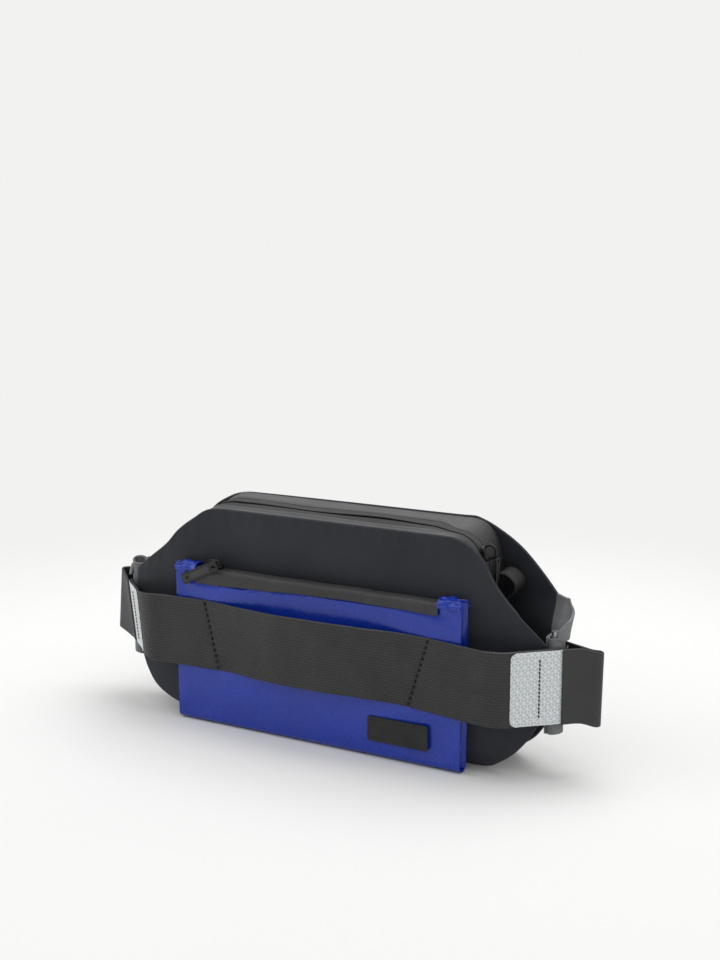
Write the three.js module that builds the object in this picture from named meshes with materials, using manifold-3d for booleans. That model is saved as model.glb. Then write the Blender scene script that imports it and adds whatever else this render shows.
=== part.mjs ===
// Hip bag with a flat tarpaulin pouch held against its front by a wide webbing.
// Millimetres. +X is the bag's width, the front faces -Y, +Z is up.
// The origin is the centre of the base panel, on the surface that the bag stands on.

import * as THREE from "three";
import { mergeVertices } from "three/addons/utils/BufferGeometryUtils.js";
import Module from "manifold-3d";

const wasm = await Module();
wasm.setup();

// ---------- driving dimensions ----------

const GAP = 0.3; // clearance that touching pieces keep
const SEAM_GAP = 0.7; // clearance of a gusset's edge to the curved panel that it is sewn to

// bag body
const TOP_HALF = 95; // half length of the straight top
const TOP_Z = 158; // height of the gusset's outer face
const CORNER_R = 23; // outer radius of the gusset's top corners
const PANEL_RISE = 3; // how far the front panel's lip stands over the gusset
const BACK_RISE = 5; // the same for the back panel
const FRONT_Y = -33.7; // middle of the front panel's wall
const BACK_Y = 19; // middle of the back panel's wall
const FRONT_T = 2; // front panel fabric
const BACK_T = 3; // back panel fabric
const GUSSET_T = 1.2; // gusset fabric
const BASE_T = 2.2; // base panel
const END_X = TOP_HALF + CORNER_R; // outer face of the end gussets
const BASE_HALF = END_X - 1; // half length of the base panel
const BOTTOM_HALF = END_X + 7; // half length of the panels at the bottom
const TUCK_Z = 20; // below this height the front panel turns in
const TUCK_IN = 12; // how far it turns in at the bottom
const FRONT_FLAT_HALF = END_X - 6; // the front panel is flat to here, then goes back to its ends
const BACK_FLAT_HALF = TOP_HALF - 5; // the back panel is flat to here, then comes forward to its ends
const LEAN_Z = 88; // above this height the back panel leans forward
const LEAN_IN = 9; // how far it leans at the top
const SHOULDER_Z = 119; // upper corner of a back wing
const PAD_T = 4.5; // back pad
const PAD_HALF = TOP_HALF - 10; // half width of the back pad
const PAD_LOW = 22; // lower edge of the back pad
const PAD_HIGH = 128; // upper edge of the back pad

// end rods and the sleeves round them
const ROD_X = END_X + 51; // rod axis
const ROD_Y = -17;
const ROD_R = 3;
const ROD_GAP = 0.3; // clearance between the rod and its sleeve
const SLEEVE_R = 6.2; // outer radius of the rolled sleeve
const SLEEVE_ABOVE = 9; // sleeve standing over the webbing's upper edge
const SLEEVE_BELOW = 6; // sleeve showing under the webbing's lower edge
const ROD_INSET = 2; // rod end below the sleeve's end

// main zip
const ZIP_Y = -17; // middle of the zip
const COIL_W = 3.4; // width of the closed coil
const COIL_T = 2; // height of the coil
const TAPE_W = 5; // width of one zip tape
const TAPE_T = 0.9;
const ZIP_END_Z = 114; // where the zip ends on the end gussets
const SLIDER_ANGLE = 25; // rest place of the slider round the corner, degrees over the horizontal
const SLIDER_L = 11;
const SLIDER_W = 8;
const SLIDER_T = 3;
const BAIL_T = 1.6;
const BAIL_H = 4.2;
const PULLER_L = 21;
const PULLER_W = 6;
const PULLER_T = 1.2;
const HANG_GAP = 0.5; // clearance of the hanging puller to its bail
const LOOP_W = 16; // width of the zip-end pull loops
const LOOP_T = 1.4;
const LOOP_L = 18; // how far a loop stands out
const LOOP_H = 9; // height of a loop
const LOOP_Z = 106; // lower face of a loop at its root
const LOOP_RISE = 6; // how much higher a loop's nose starts
const LOOP_LIFT = 1.2; // opening between a loop's two ends at its root
const LOOP_BACK = 6; // a loop's front edge, behind the zip's middle

const POUCH_HALF = 114; // half width of the pouch

// webbing and belt
const WEB_W = 50; // width of the webbing and of the belt
const WEB_T = 1.6;
const WRAP_DEGREES = 110; // how far the webbing goes round a sleeve
const WEB_LOW = 43; // lower edge of the webbing
const BULGE = 9.5; // how far the webbing stands off the pouch in the middle
const STITCH_X = POUCH_HALF - 30; // where the webbing is stitched to the pouch
const PATCH_X = ROD_X - 22; // where the webbing bends towards the rod, at the patch
const PATCH_STAND = 0.8; // how far the webbing stands off the pouch's plane at the patch's inner edge
const SHOULDER_OUT = 3.4; // how far the webbing bulges out beside the pouch, before the patch
const PATCH_T = 0.6;
const BELT_T = 1.6;
const BELT_OUT = 25; // how far the belt goes outward before its fold
const FOLD_R = 3.2; // middle radius of the fold
const FOLD_TURN = 165; // how far the fold turns, degrees
const BELT_Y = 36.3; // middle of the belt's wall behind the bag
const MALE_TAIL_X = 8; // inner end of the right belt half
const FEMALE_TAIL_X = 45.4; // inner end of the left belt half

// buckle
const BUCKLE_W = 63; // overall width, round a 50 mm webbing
const FEMALE_L = 40;
const FEMALE_MOUTH_X = -4; // plane of the female half's mouth
const FRAME_L = 10; // length of the slotted frame of each half
const SLOT_T = 2.4; // height of the slot for the belt
const SLOT_W = 51.2;
const BAR_T = 2.2; // outer bar over the slot
const WALL = 2.6; // walls of the female half
const ARM_T = 5;
const ARM_W = 6;
const ARM_L = 36; // length of the male half's arms and guide
const ARM_TIP_X = 4; // tips of the arms at rest
const ARM_GAP = 0.6; // clearance round the arms in the female half
const GUIDE_W = 16;
const WINDOW_FROM = 9; // the prongs' windows, from the female half's inner end
const WINDOW_TO = 25;
const BAR_CLEAR = 0.2; // step between a half's body and its belt slot

// pouch
const POUCH_D = 11; // depth over both walls
const POUCH_H = 119;
const TARP_T = 1;
const FOLD_EDGE = 2; // bevel of the fold along the pouch's bottom
const PLEAT_T = 0.8; // folded side gussets
const PLEAT_IN = 6; // how far a side gusset folds in
const ZIP_HALF = POUCH_HALF - 17; // half length of the pouch's zip strip
const STRIP_LOW = POUCH_H - 18.5; // lower edge of the strip on the front
const STRIP_TOP = POUCH_H - 3.5; // top of the strip
const STRIP_T = 1.2;
const STRIP_PROUD = 0.2; // how far the strip stands out of the pouch's front
const COIL_PROUD = 0.6; // how far the coil stands over the strip
const PLEAT_INSET = 1.2; // a side gusset's edge, in from the wall's edge
const POUCH_COIL_W = 2.6;
const POUCH_SLIDER_X = 14 - ZIP_HALF; // slider's middle at rest
const POUCH_SLIDER_L = 12;
const POUCH_SLIDER_W = 8;
const POUCH_SLIDER_T = 3;
const POUCH_PULLER_L = 34;
const POUCH_PULLER_W = 8;
const POUCH_PULLER_T = 1.6;
const POUCH_PULLER_DIP = 25.2; // how far the puller points down from level, degrees
const PULLER_STAND = 2.2; // the puller's middle, in front of the strip
const PULLER_RISE = 1.4; // its root, over the slider

// label
const LABEL_L = 44;
const LABEL_H = 17;
const LABEL_T = 1.8;
const LABEL_X = 64; // middle of the label
const LABEL_Z = 19;
const LABEL_R = 1.5;

// ---------- values worked out from them ----------

const POUCH_BACK = FRONT_Y - FRONT_T / 2 - GAP; // the pouch lies against the front panel
const POUCH_FRONT = POUCH_BACK - POUCH_D; // outer face of the pouch's front
const WEB_HIGH = WEB_LOW + WEB_W;
const WEB_MID = WEB_LOW + WEB_W / 2;
const SLEEVE_LOW = WEB_LOW - SLEEVE_BELOW;
const SLEEVE_HIGH = WEB_HIGH + SLEEVE_ABOVE;
const CORNER_Z = TOP_Z - CORNER_R; // centre of the corners
const WRAP_R = SLEEVE_R + GAP + WEB_T / 2; // webbing's middle round the sleeve
const PANEL_END = ROD_X - 4; // end of the front panel, under the webbing
const FRONT_END_Y = ROD_Y - SLEEVE_R - GAP - FRONT_T / 2; // the front panel's end lies on the sleeve
const BACK_END = ROD_X - 1; // end of the back panel, on the sleeve
const BACK_END_Y = ROD_Y + SLEEVE_R + GAP + BACK_T / 2;
const SHOULDER_X = ROD_X - 8; // upper corner of a back wing
const ZIP_LOW = ZIP_Y - COIL_W / 2 - GAP - TAPE_W;
const ZIP_HIGH = ZIP_Y + COIL_W / 2 + GAP + TAPE_W;
const PAD_Y = BACK_Y + BACK_T / 2 + GAP;
const BUCKLE_Y = BELT_Y - BELT_T / 2 - GAP - ARM_T / 2; // middle plane of both halves

const radians = THREE.MathUtils.degToRad;

// ---------- materials ----------

function finish(colour, roughness, metalness = 0) {
  return new THREE.MeshStandardMaterial({ color: colour, roughness, metalness });
}

const shellFabric = finish(0x323438, 0.75);
const gussetFabric = finish(0x3a3b3d, 0.65);
const spacerFoam = finish(0x2c2d2f, 0.95);
const zipTape = finish(0x232426, 0.8);
const zipPlastic = finish(0x1b1c1e, 0.5);
const blackMetal = finish(0x1e1f21, 0.4, 0.6);
const loopWebbing = finish(0x222326, 0.85);
const rodMetal = finish(0x8a8c90, 0.35, 0.9);
const ribbedWebbing = finish(0x262626, 0.8);
const smoothWebbing = finish(0x37383a, 0.6);
const reflector = finish(0xb4b9bb, 0.45);
const tarpaulin = finish(0x2c3a96, 0.3);
const rubber = finish(0x2a2a29, 0.7);
const buckleNylon = finish(0x202124, 0.5);

// ---------- makers of solids ----------

// A unit box with one layer, whose vertices are placed by a function of
// (along, across, layer); layer runs from -0.5 to 0.5.
function bend(alongStops, acrossStops, place) {
  const box = new THREE.BoxGeometry(1, 1, 1, alongStops.length - 1, acrossStops.length - 1, 1);
  box.deleteAttribute("normal");
  box.deleteAttribute("uv");
  const solid = mergeVertices(box, 1e-4);
  const position = solid.getAttribute("position");
  for (let i = 0; i < position.count; i += 1) {
    const along = alongStops[Math.round((position.getX(i) + 0.5) * (alongStops.length - 1))];
    const across = acrossStops[Math.round((position.getY(i) + 0.5) * (acrossStops.length - 1))];
    const point = place(along, across, position.getZ(i));
    position.setXYZ(i, point.x, point.y, point.z);
  }
  return solid;
}

function toManifold(geometry) {
  const bare = geometry.clone();
  bare.deleteAttribute("normal");
  bare.deleteAttribute("uv");
  const merged = mergeVertices(bare, 1e-4);
  const vertProperties = new Float32Array(merged.getAttribute("position").array);
  const triVerts = new Uint32Array(merged.getIndex().array);
  return new wasm.Manifold(new wasm.Mesh({ numProp: 3, vertProperties, triVerts }));
}

function toGeometry(solid) {
  const mesh = solid.getMesh();
  const geometry = new THREE.BufferGeometry();
  geometry.setAttribute("position", new THREE.BufferAttribute(mesh.vertProperties, 3));
  geometry.setIndex(new THREE.BufferAttribute(mesh.triVerts, 1));
  return geometry;
}

// A block between its lowest and its highest corner.
function block(x0, y0, z0, x1, y1, z1) {
  const box = new THREE.BoxGeometry(x1 - x0, y1 - y0, z1 - z0);
  box.translate((x0 + x1) / 2, (y0 + y1) / 2, (z0 + z1) / 2);
  return box;
}

function cut(body, ...tools) {
  let solid = toManifold(body);
  for (const tool of tools) {
    solid = solid.subtract(toManifold(tool));
  }
  return toGeometry(solid);
}

function join(...bodies) {
  let solid = toManifold(bodies[0]);
  for (const body of bodies.slice(1)) {
    solid = solid.add(toManifold(body));
  }
  return toGeometry(solid);
}

// The outline, in plan, of a strip of even thickness along a path, with round ends.
function stripOutline(path, thickness) {
  const half = thickness / 2;
  const left = [];
  const right = [];
  for (let i = 0; i < path.length; i += 1) {
    const before = path[Math.max(i - 1, 0)];
    const after = path[Math.min(i + 1, path.length - 1)];
    const way = after.clone().sub(before).normalize();
    const side = new THREE.Vector2(-way.y, way.x).multiplyScalar(half);
    left.push(path[i].clone().add(side));
    right.push(path[i].clone().sub(side));
  }
  const startWay = path[1].clone().sub(path[0]).normalize().multiplyScalar(half);
  const endWay = path[path.length - 1].clone().sub(path[path.length - 2]).normalize().multiplyScalar(half);
  const startTip = path[0].clone().sub(startWay);
  const endTip = path[path.length - 1].clone().add(endWay);
  return new THREE.Shape([startTip, ...right, endTip, ...left.reverse()]);
}

// A strip that stands on edge, from height low to height high, along a path in plan.
function standingStrip(path, thickness, low, high) {
  const solid = new THREE.ExtrudeGeometry(stripOutline(path, thickness), {
    depth: high - low,
    bevelEnabled: false,
  });
  solid.translate(0, 0, low);
  return solid;
}

// A section given in (y, z), run along X from -half to half.
function alongX(section, half) {
  const solid = new THREE.ExtrudeGeometry(new THREE.Shape(section), { depth: 2 * half, bevelEnabled: false });
  solid.applyMatrix4(new THREE.Matrix4().set(0, 0, 1, -half, 1, 0, 0, 0, 0, 1, 0, 0, 0, 0, 0, 1));
  return solid;
}

function mirrored(path) {
  return path.map((point) => new THREE.Vector2(-point.x, point.y)).reverse();
}

function smoothPath(points, steps) {
  return new THREE.SplineCurve(points).getPoints(steps);
}

const v2 = (x, y) => new THREE.Vector2(x, y);

const model = new THREE.Group();

function add(name, geometry, material) {
  const mesh = new THREE.Mesh(geometry, material);
  mesh.name = name;
  model.add(mesh);
}

// ---------- bag panels ----------

function broken(x, points) {
  for (let i = 1; i < points.length; i += 1) {
    const [x0, z0] = points[i - 1];
    const [x1, z1] = points[i];
    if (x <= x1) {
      return z0 + ((z1 - z0) * (x - x0)) / (x1 - x0);
    }
  }
  return points[points.length - 1][1];
}

// Outlines of half a panel, as (x, z) from the middle outwards.
const frontTop = TOP_Z + PANEL_RISE;
const frontUpper = [
  [0, frontTop],
  [TOP_HALF + 3, frontTop],
  [TOP_HALF + 13, frontTop - 2],
  [TOP_HALF + 22, frontTop - 8],
  [TOP_HALF + 29, frontTop - 17],
  [TOP_HALF + 36, frontTop - 28],
  [PANEL_END, WEB_HIGH - 4],
];
const backTop = TOP_Z + BACK_RISE;
const backUpper = [
  [0, backTop],
  [TOP_HALF - 1, backTop],
  [TOP_HALF + 6, backTop - 3],
  [SHOULDER_X, SHOULDER_Z],
  [BACK_END, SLEEVE_HIGH - 1],
];
const lower = [
  [0, GAP],
  [BASE_HALF + 3, GAP],
  [BOTTOM_HALF, 1],
  [BOTTOM_HALF + 22, 17],
  [PANEL_END - 3, WEB_LOW - 4],
  [BACK_END, WEB_LOW - 3],
];

function frontWall(x, z) {
  const reach = Math.max(Math.abs(x) - FRONT_FLAT_HALF, 0) / (PANEL_END - FRONT_FLAT_HALF);
  const tuck = Math.max(1 - z / TUCK_Z, 0);
  return FRONT_Y + (FRONT_END_Y - FRONT_Y) * reach * reach + TUCK_IN * tuck * tuck;
}

function backWall(x, z) {
  const reach = Math.max(Math.abs(x) - BACK_FLAT_HALF, 0) / (BACK_END - BACK_FLAT_HALF);
  const lean = Math.max(z - LEAN_Z, 0) / (backTop - LEAN_Z);
  return BACK_Y - (BACK_Y - BACK_END_Y) * reach * reach - LEAN_IN * lean * lean * (1 - reach);
}

function bothSides(stops) {
  const rest = stops.filter((stop) => stop > 0);
  return [...rest.map((stop) => -stop).reverse(), 0, ...rest];
}

const heights = [0, 0.04, 0.08, 0.13, 0.25, 0.45, 0.65, 0.8, 0.9, 1];

function panel(upper, wall, thickness, xStops) {
  return bend(bothSides(xStops), heights, (x, share, layer) => {
    const low = broken(Math.abs(x), lower);
    const high = broken(Math.abs(x), upper);
    const z = low + (high - low) * share;
    return new THREE.Vector3(x, wall(x, z) - layer * thickness, z);
  });
}

const frontStops = [50, TOP_HALF + 3, TOP_HALF + 13, TOP_HALF + 22, TOP_HALF + 29, TOP_HALF + 36, 147, PANEL_END];
const backStops = [45, 90, TOP_HALF + 6, 115, 130, 145, SHOULDER_X, BACK_END];
add("front_panel", panel(frontUpper, frontWall, FRONT_T, frontStops), shellFabric);
add("back_panel", panel(backUpper, backWall, BACK_T, backStops), shellFabric);

// The base lies between the lower edges of the two panels.
function basePanel() {
  return bend(bothSides([60, 90, 104, BASE_HALF]), [0, 1], (x, share, layer) => {
    const front = frontWall(x, 0) + FRONT_T / 2 + SEAM_GAP;
    const back = backWall(x, 0) - BACK_T / 2 - SEAM_GAP;
    return new THREE.Vector3(x, front + (back - front) * share, (0.5 + layer) * BASE_T);
  });
}
add("base_panel", basePanel(), gussetFabric);

function backPad() {
  const steps = [-PAD_HALF, -PAD_HALF / 2, 0, PAD_HALF / 2, PAD_HALF];
  const rise = [PAD_LOW, 60, 88, 100, 114, PAD_HIGH];
  return bend(steps, rise, (x, z, layer) => {
    const skin = backWall(x, z) - BACK_Y + PAD_Y;
    return new THREE.Vector3(x, skin + (0.5 - layer) * PAD_T, z);
  });
}
add("back_pad", backPad(), spacerFoam);

// ---------- the hoop that the gussets and the main zip follow ----------

const ARC = (CORNER_R * Math.PI) / 2;

// Place at a distance from the top's middle along the hoop's outer face:
// straight over the top, round a corner, then straight down the end.
function hoop(distance) {
  const side = Math.sign(distance) || 1;
  const run = Math.abs(distance);
  if (run <= TOP_HALF) {
    return { x: side * run, z: TOP_Z, nx: 0, nz: 1 };
  }
  if (run <= TOP_HALF + ARC) {
    const angle = (run - TOP_HALF) / CORNER_R;
    return {
      x: side * (TOP_HALF + CORNER_R * Math.sin(angle)),
      z: CORNER_Z + CORNER_R * Math.cos(angle),
      nx: side * Math.sin(angle),
      nz: Math.cos(angle),
    };
  }
  return { x: side * END_X, z: CORNER_Z - (run - TOP_HALF - ARC), nx: side, nz: 0 };
}

const ZIP_END = TOP_HALF + ARC + (CORNER_Z - ZIP_END_Z);
const hoopStops = [0, 45, TOP_HALF - 5, TOP_HALF];
for (let i = 1; i <= 6; i += 1) {
  hoopStops.push(TOP_HALF + (ARC * i) / 6);
}
hoopStops.push(ZIP_END);

// A band on the hoop between two depths in Y, from under to over its outer face.
function band(yLow, yHigh, under, over, stops = bothSides(hoopStops)) {
  return bend(stops, [0, 1], (distance, share, layer) => {
    const place = hoop(distance);
    const off = layer > 0 ? over : under;
    const y = yLow + (yHigh - yLow) * share;
    return new THREE.Vector3(place.x + place.nx * off, y, place.z + place.nz * off);
  });
}

// The outer edge of a strip follows the panel that it is sewn to.
function gussetStrip(isFront) {
  return bend(bothSides(hoopStops), [0, 1], (distance, share, layer) => {
    const place = hoop(distance);
    const off = layer > 0 ? 0 : -GUSSET_T;
    const x = place.x + place.nx * off;
    const z = place.z + place.nz * off;
    const seam = isFront
      ? frontWall(x, z) + FRONT_T / 2 + SEAM_GAP
      : backWall(x, z) - BACK_T / 2 - SEAM_GAP;
    const inner = isFront ? ZIP_LOW - GAP : ZIP_HIGH + GAP;
    const low = isFront ? seam : inner;
    const high = isFront ? inner : seam;
    return new THREE.Vector3(x, low + (high - low) * share, z);
  });
}
add("gusset_front_strip", gussetStrip(true), gussetFabric);
add("gusset_rear_strip", gussetStrip(false), gussetFabric);

const coilLow = ZIP_Y - COIL_W / 2;
const coilHigh = ZIP_Y + COIL_W / 2;
add("main_zip_tape_front", band(ZIP_LOW, coilLow - GAP, -TAPE_T, 0), zipTape);
add("main_zip_tape_rear", band(coilHigh + GAP, ZIP_HIGH, -TAPE_T, 0), zipTape);
add("main_zip_coil", band(coilLow, coilHigh, -COIL_T / 2, COIL_T / 2), zipPlastic);

function endGusset(side) {
  const low = BASE_T + GAP;
  const high = ZIP_END_Z - GAP;
  const rise = [low, 9, TUCK_Z, 60, 88, high];
  return bend(rise, [0, 1], (z, share, layer) => {
    const x = END_X - (0.5 - layer) * GUSSET_T;
    const front = frontWall(x, z) + FRONT_T / 2 + SEAM_GAP;
    const back = backWall(x, z) - BACK_T / 2 - SEAM_GAP;
    const y = front + (back - front) * (side > 0 ? 1 - share : share);
    return new THREE.Vector3(side * x, y, z);
  });
}

// A folded ribbon that stands out of the end gusset: flat arms and a round nose.
function pullLoop(side) {
  const path = [];
  const r = LOOP_H / 2;
  const root = END_X + GAP;
  path.push(v2(root, LOOP_Z));
  path.push(v2(root + LOOP_L - r, LOOP_Z + LOOP_RISE));
  for (let i = 1; i <= 5; i += 1) {
    const angle = -Math.PI / 2 + (Math.PI * i) / 6;
    path.push(v2(root + LOOP_L - r + r * Math.cos(angle), LOOP_Z + LOOP_RISE + r + r * Math.sin(angle)));
  }
  path.push(v2(root + LOOP_L - r, LOOP_Z + LOOP_RISE + LOOP_H));
  path.push(v2(root, LOOP_Z + LOOP_T + LOOP_LIFT));
  const solid = standingStrip(path, LOOP_T, -LOOP_W, 0);
  const front = ZIP_Y + LOOP_BACK;
  const turn = new THREE.Matrix4().set(1, 0, 0, LOOP_T / 2, 0, 0, -1, front, 0, 1, 0, 0, 0, 0, 0, 1);
  solid.applyMatrix4(turn);
  if (side > 0) {
    return solid;
  }
  return mirrorX(solid);
}

// The mirror image in the plane X = 0, with its faces turned to point out again.
function mirrorX(geometry) {
  const bare = geometry.index ? geometry.toNonIndexed() : geometry.clone();
  bare.deleteAttribute("normal");
  bare.deleteAttribute("uv");
  const from = bare.getAttribute("position");
  const turned = new Float32Array(from.count * 3);
  for (let i = 0; i < from.count; i += 3) {
    for (let corner = 0; corner < 3; corner += 1) {
      const source = i + 2 - corner;
      turned[(i + corner) * 3] = -from.getX(source);
      turned[(i + corner) * 3 + 1] = from.getY(source);
      turned[(i + corner) * 3 + 2] = from.getZ(source);
    }
  }
  const mirror = new THREE.BufferGeometry();
  mirror.setAttribute("position", new THREE.BufferAttribute(turned, 3));
  return mirror;
}

// ---------- end rods and sleeves ----------

function ring(inner, outer, low, high) {
  const profile = [v2(inner, low), v2(outer, low), v2(outer, high), v2(inner, high), v2(inner, low)];
  const solid = new THREE.LatheGeometry(profile, 20);
  solid.rotateX(Math.PI / 2);
  return solid;
}

function sleeve(side) {
  const solid = ring(ROD_R + ROD_GAP, SLEEVE_R, -(SLEEVE_HIGH - SLEEVE_LOW) / 2, (SLEEVE_HIGH - SLEEVE_LOW) / 2);
  solid.translate(side * ROD_X, ROD_Y, (SLEEVE_HIGH + SLEEVE_LOW) / 2);
  return solid;
}

function rod(side) {
  const length = SLEEVE_HIGH - SLEEVE_LOW - 2 * ROD_INSET;
  const solid = new THREE.CylinderGeometry(ROD_R, ROD_R, length, 20);
  solid.rotateX(Math.PI / 2);
  solid.translate(side * ROD_X, ROD_Y, (SLEEVE_HIGH + SLEEVE_LOW) / 2);
  return solid;
}

// ---------- webbing, patches and belt, in plan for the right side ----------

const patchY = POUCH_FRONT - PATCH_STAND - WEB_T / 2;
const patchStart = v2(PATCH_X, patchY);
const rodCentre = v2(ROD_X, ROD_Y);
const toRod = rodCentre.clone().sub(patchStart);
const slant = toRod.angle() - Math.asin(WRAP_R / toRod.length());
const way = v2(Math.cos(slant), Math.sin(slant));
const outward = v2(Math.sin(slant), -Math.cos(slant));
const tangent = rodCentre.clone().addScaledVector(outward, WRAP_R);

// From the middle of the front to the right sleeve and round it.
function webbingHalf() {
  const face = POUCH_FRONT - GAP - WEB_T / 2;
  const bow = smoothPath(
    [
      v2(0, face - BULGE),
      v2(38, face - BULGE * 0.72),
      v2(66, face - BULGE * 0.17),
      v2(STITCH_X, face),
      v2(STITCH_X + 16, face - 0.4),
      v2(PATCH_X - 25, patchY - SHOULDER_OUT / 2),
      v2(PATCH_X - 10, patchY - SHOULDER_OUT),
      patchStart,
      patchStart.clone().addScaledVector(way, 2.5),
      patchStart.clone().addScaledVector(way, 7),
    ],
    30,
  );
  const path = [...bow, tangent.clone().addScaledVector(way, -8)];
  for (let i = 0; i <= 8; i += 1) {
    const angle = slant - Math.PI / 2 + (radians(WRAP_DEGREES) * i) / 8;
    path.push(v2(ROD_X + WRAP_R * Math.cos(angle), ROD_Y + WRAP_R * Math.sin(angle)));
  }
  return path;
}

const half = webbingHalf();
const webbingPath = [...mirrored(half).slice(0, -1), ...half];
add("front_webbing", standingStrip(webbingPath, WEB_T, WEB_LOW, WEB_HIGH), ribbedWebbing);

const patchOff = WEB_T / 2 + GAP + PATCH_T / 2;
const patchPath = [
  patchStart.clone().addScaledVector(way, 3).addScaledVector(outward, patchOff),
  patchStart.clone().addScaledVector(way, 18).addScaledVector(outward, patchOff),
  tangent.clone().addScaledVector(outward, patchOff),
];

const beltOff = WEB_T / 2 + BELT_T / 2 + 2 * GAP;
const beltRoot = tangent.clone().addScaledVector(way, BELT_T / 2 + SEAM_GAP).addScaledVector(outward, beltOff);

function beltPath(tailX) {
  const outer = beltRoot.clone().addScaledVector(way, BELT_OUT);
  const centre = outer.clone().addScaledVector(outward, -FOLD_R);
  const path = [beltRoot.clone(), beltRoot.clone().addScaledVector(way, BELT_OUT / 2), outer];
  for (let i = 1; i <= 5; i += 1) {
    const angle = slant - Math.PI / 2 + (radians(FOLD_TURN) * i) / 5;
    path.push(v2(centre.x + FOLD_R * Math.cos(angle), centre.y + FOLD_R * Math.sin(angle)));
  }
  const back = smoothPath(
    [
      path[path.length - 1],
      v2(ROD_X + 11, 1.5),
      v2(ROD_X - 2, 5),
      v2(ROD_X - 15, 11),
      v2(ROD_X - 30, 19),
      v2(ROD_X - 46, 27),
      v2(ROD_X - 64, 33),
      v2(ROD_X - 84, BELT_Y),
    ],
    24,
  );
  return [...path, ...back.slice(1), v2(60, BELT_Y), v2(tailX, BELT_Y)];
}

function eachSide(name, rightPath, thickness, low, high, material) {
  add(`${name}_right`, standingStrip(rightPath, thickness, low, high), material);
  add(`${name}_left`, standingStrip(mirrored(rightPath), thickness, low, high), material);
}

eachSide("reflective_patch", patchPath, PATCH_T, WEB_LOW + 0.2, WEB_HIGH - 0.2, reflector);
add("belt_right", standingStrip(beltPath(MALE_TAIL_X), BELT_T, WEB_LOW, WEB_HIGH), smoothWebbing);
add("belt_left", standingStrip(mirrored(beltPath(FEMALE_TAIL_X)), BELT_T, WEB_LOW, WEB_HIGH), smoothWebbing);

for (const [name, side] of [["right", 1], ["left", -1]]) {
  add(`end_gusset_${name}`, endGusset(side), gussetFabric);
  add(`zip_pull_loop_${name}`, pullLoop(side), loopWebbing);
  add(`end_sleeve_${name}`, sleeve(side), shellFabric);
  add(`end_rod_${name}`, rod(side), rodMetal);
}

// ---------- buckle ----------

const slotLow = BELT_Y - SLOT_T / 2;
const slotHigh = BELT_Y + SLOT_T / 2;

// The end frame of a buckle half: a block with a slot right through it for the belt.
function slottedFrame(xLow, xHigh, yLow) {
  const frame = block(xLow, yLow, WEB_MID - BUCKLE_W / 2, xHigh, slotHigh + BAR_T, WEB_MID + BUCKLE_W / 2);
  const slot = block(xLow - 1, slotLow, WEB_MID - SLOT_W / 2, xHigh + 1, slotHigh, WEB_MID + SLOT_W / 2);
  return cut(frame, slot);
}

function maleHalf() {
  const root = ARM_TIP_X + ARM_L;
  const yLow = BUCKLE_Y - ARM_T / 2;
  const yHigh = slotLow - BAR_CLEAR;
  const armZ = BUCKLE_W / 2 - WALL - ARM_GAP;
  const parts = [slottedFrame(root, root + FRAME_L, yLow)];
  parts.push(block(root - 2, yLow, WEB_MID - armZ, root + 1, yHigh, WEB_MID + armZ));
  for (const side of [-1, 1]) {
    const z0 = WEB_MID + side * armZ;
    const z1 = WEB_MID + side * (armZ - ARM_W);
    parts.push(block(ARM_TIP_X, yLow, Math.min(z0, z1), root, yHigh, Math.max(z0, z1)));
  }
  parts.push(block(ARM_TIP_X, yLow, WEB_MID - GUIDE_W / 2, root, yHigh, WEB_MID + GUIDE_W / 2));
  return join(...parts);
}

function femaleHalf() {
  const xLow = FEMALE_MOUTH_X - FEMALE_L;
  const yLow = BUCKLE_Y - ARM_T / 2 - ARM_GAP - WALL;
  const yHigh = slotLow - BAR_CLEAR + ARM_GAP + WALL;
  const zHalf = BUCKLE_W / 2;
  const shell = block(xLow, yLow, WEB_MID - zHalf, FEMALE_MOUTH_X, yHigh, WEB_MID + zHalf);
  const hollow = block(
    xLow + WALL,
    yLow + WALL,
    WEB_MID - zHalf + WALL,
    FEMALE_MOUTH_X + 1,
    yHigh - WALL,
    WEB_MID + zHalf - WALL,
  );
  const window = block(
    xLow + WINDOW_FROM,
    yLow + WALL,
    WEB_MID - zHalf - 1,
    xLow + WINDOW_TO,
    yHigh - WALL,
    WEB_MID + zHalf + 1,
  );
  const body = cut(shell, hollow, window);
  const frame = slottedFrame(xLow - FRAME_L, xLow, yLow);
  const neck = block(xLow - 1, yLow, WEB_MID - zHalf, xLow + 1, slotLow - 2 * BAR_CLEAR, WEB_MID + zHalf);
  return join(body, frame, neck);
}

add("buckle_male", maleHalf(), buckleNylon);
add("buckle_female", femaleHalf(), buckleNylon);

// ---------- pouch ----------

function pouchShell() {
  const low = GAP;
  const r = FOLD_EDGE;
  const inner = r + 0.4 * TARP_T;
  const section = [
    v2(POUCH_FRONT, POUCH_H),
    v2(POUCH_FRONT, low + r),
    v2(POUCH_FRONT + r, low),
    v2(POUCH_BACK - r, low),
    v2(POUCH_BACK, low + r),
    v2(POUCH_BACK, POUCH_H),
    v2(POUCH_BACK - TARP_T, POUCH_H),
    v2(POUCH_BACK - TARP_T, low + inner),
    v2(POUCH_BACK - inner, low + TARP_T),
    v2(POUCH_FRONT + inner, low + TARP_T),
    v2(POUCH_FRONT + TARP_T, low + inner),
    v2(POUCH_FRONT + TARP_T, POUCH_H),
  ];
  const reach = ZIP_HALF + GAP;
  const frontCut = block(-reach, POUCH_FRONT - 1, STRIP_LOW - GAP, reach, POUCH_FRONT + 2, POUCH_H + 1);
  const rearCut = block(-reach, POUCH_BACK - 2, STRIP_TOP - STRIP_T - 2, reach, POUCH_BACK + 1, POUCH_H + 1);
  return cut(alongX(section, POUCH_HALF), frontCut, rearCut);
}

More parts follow.
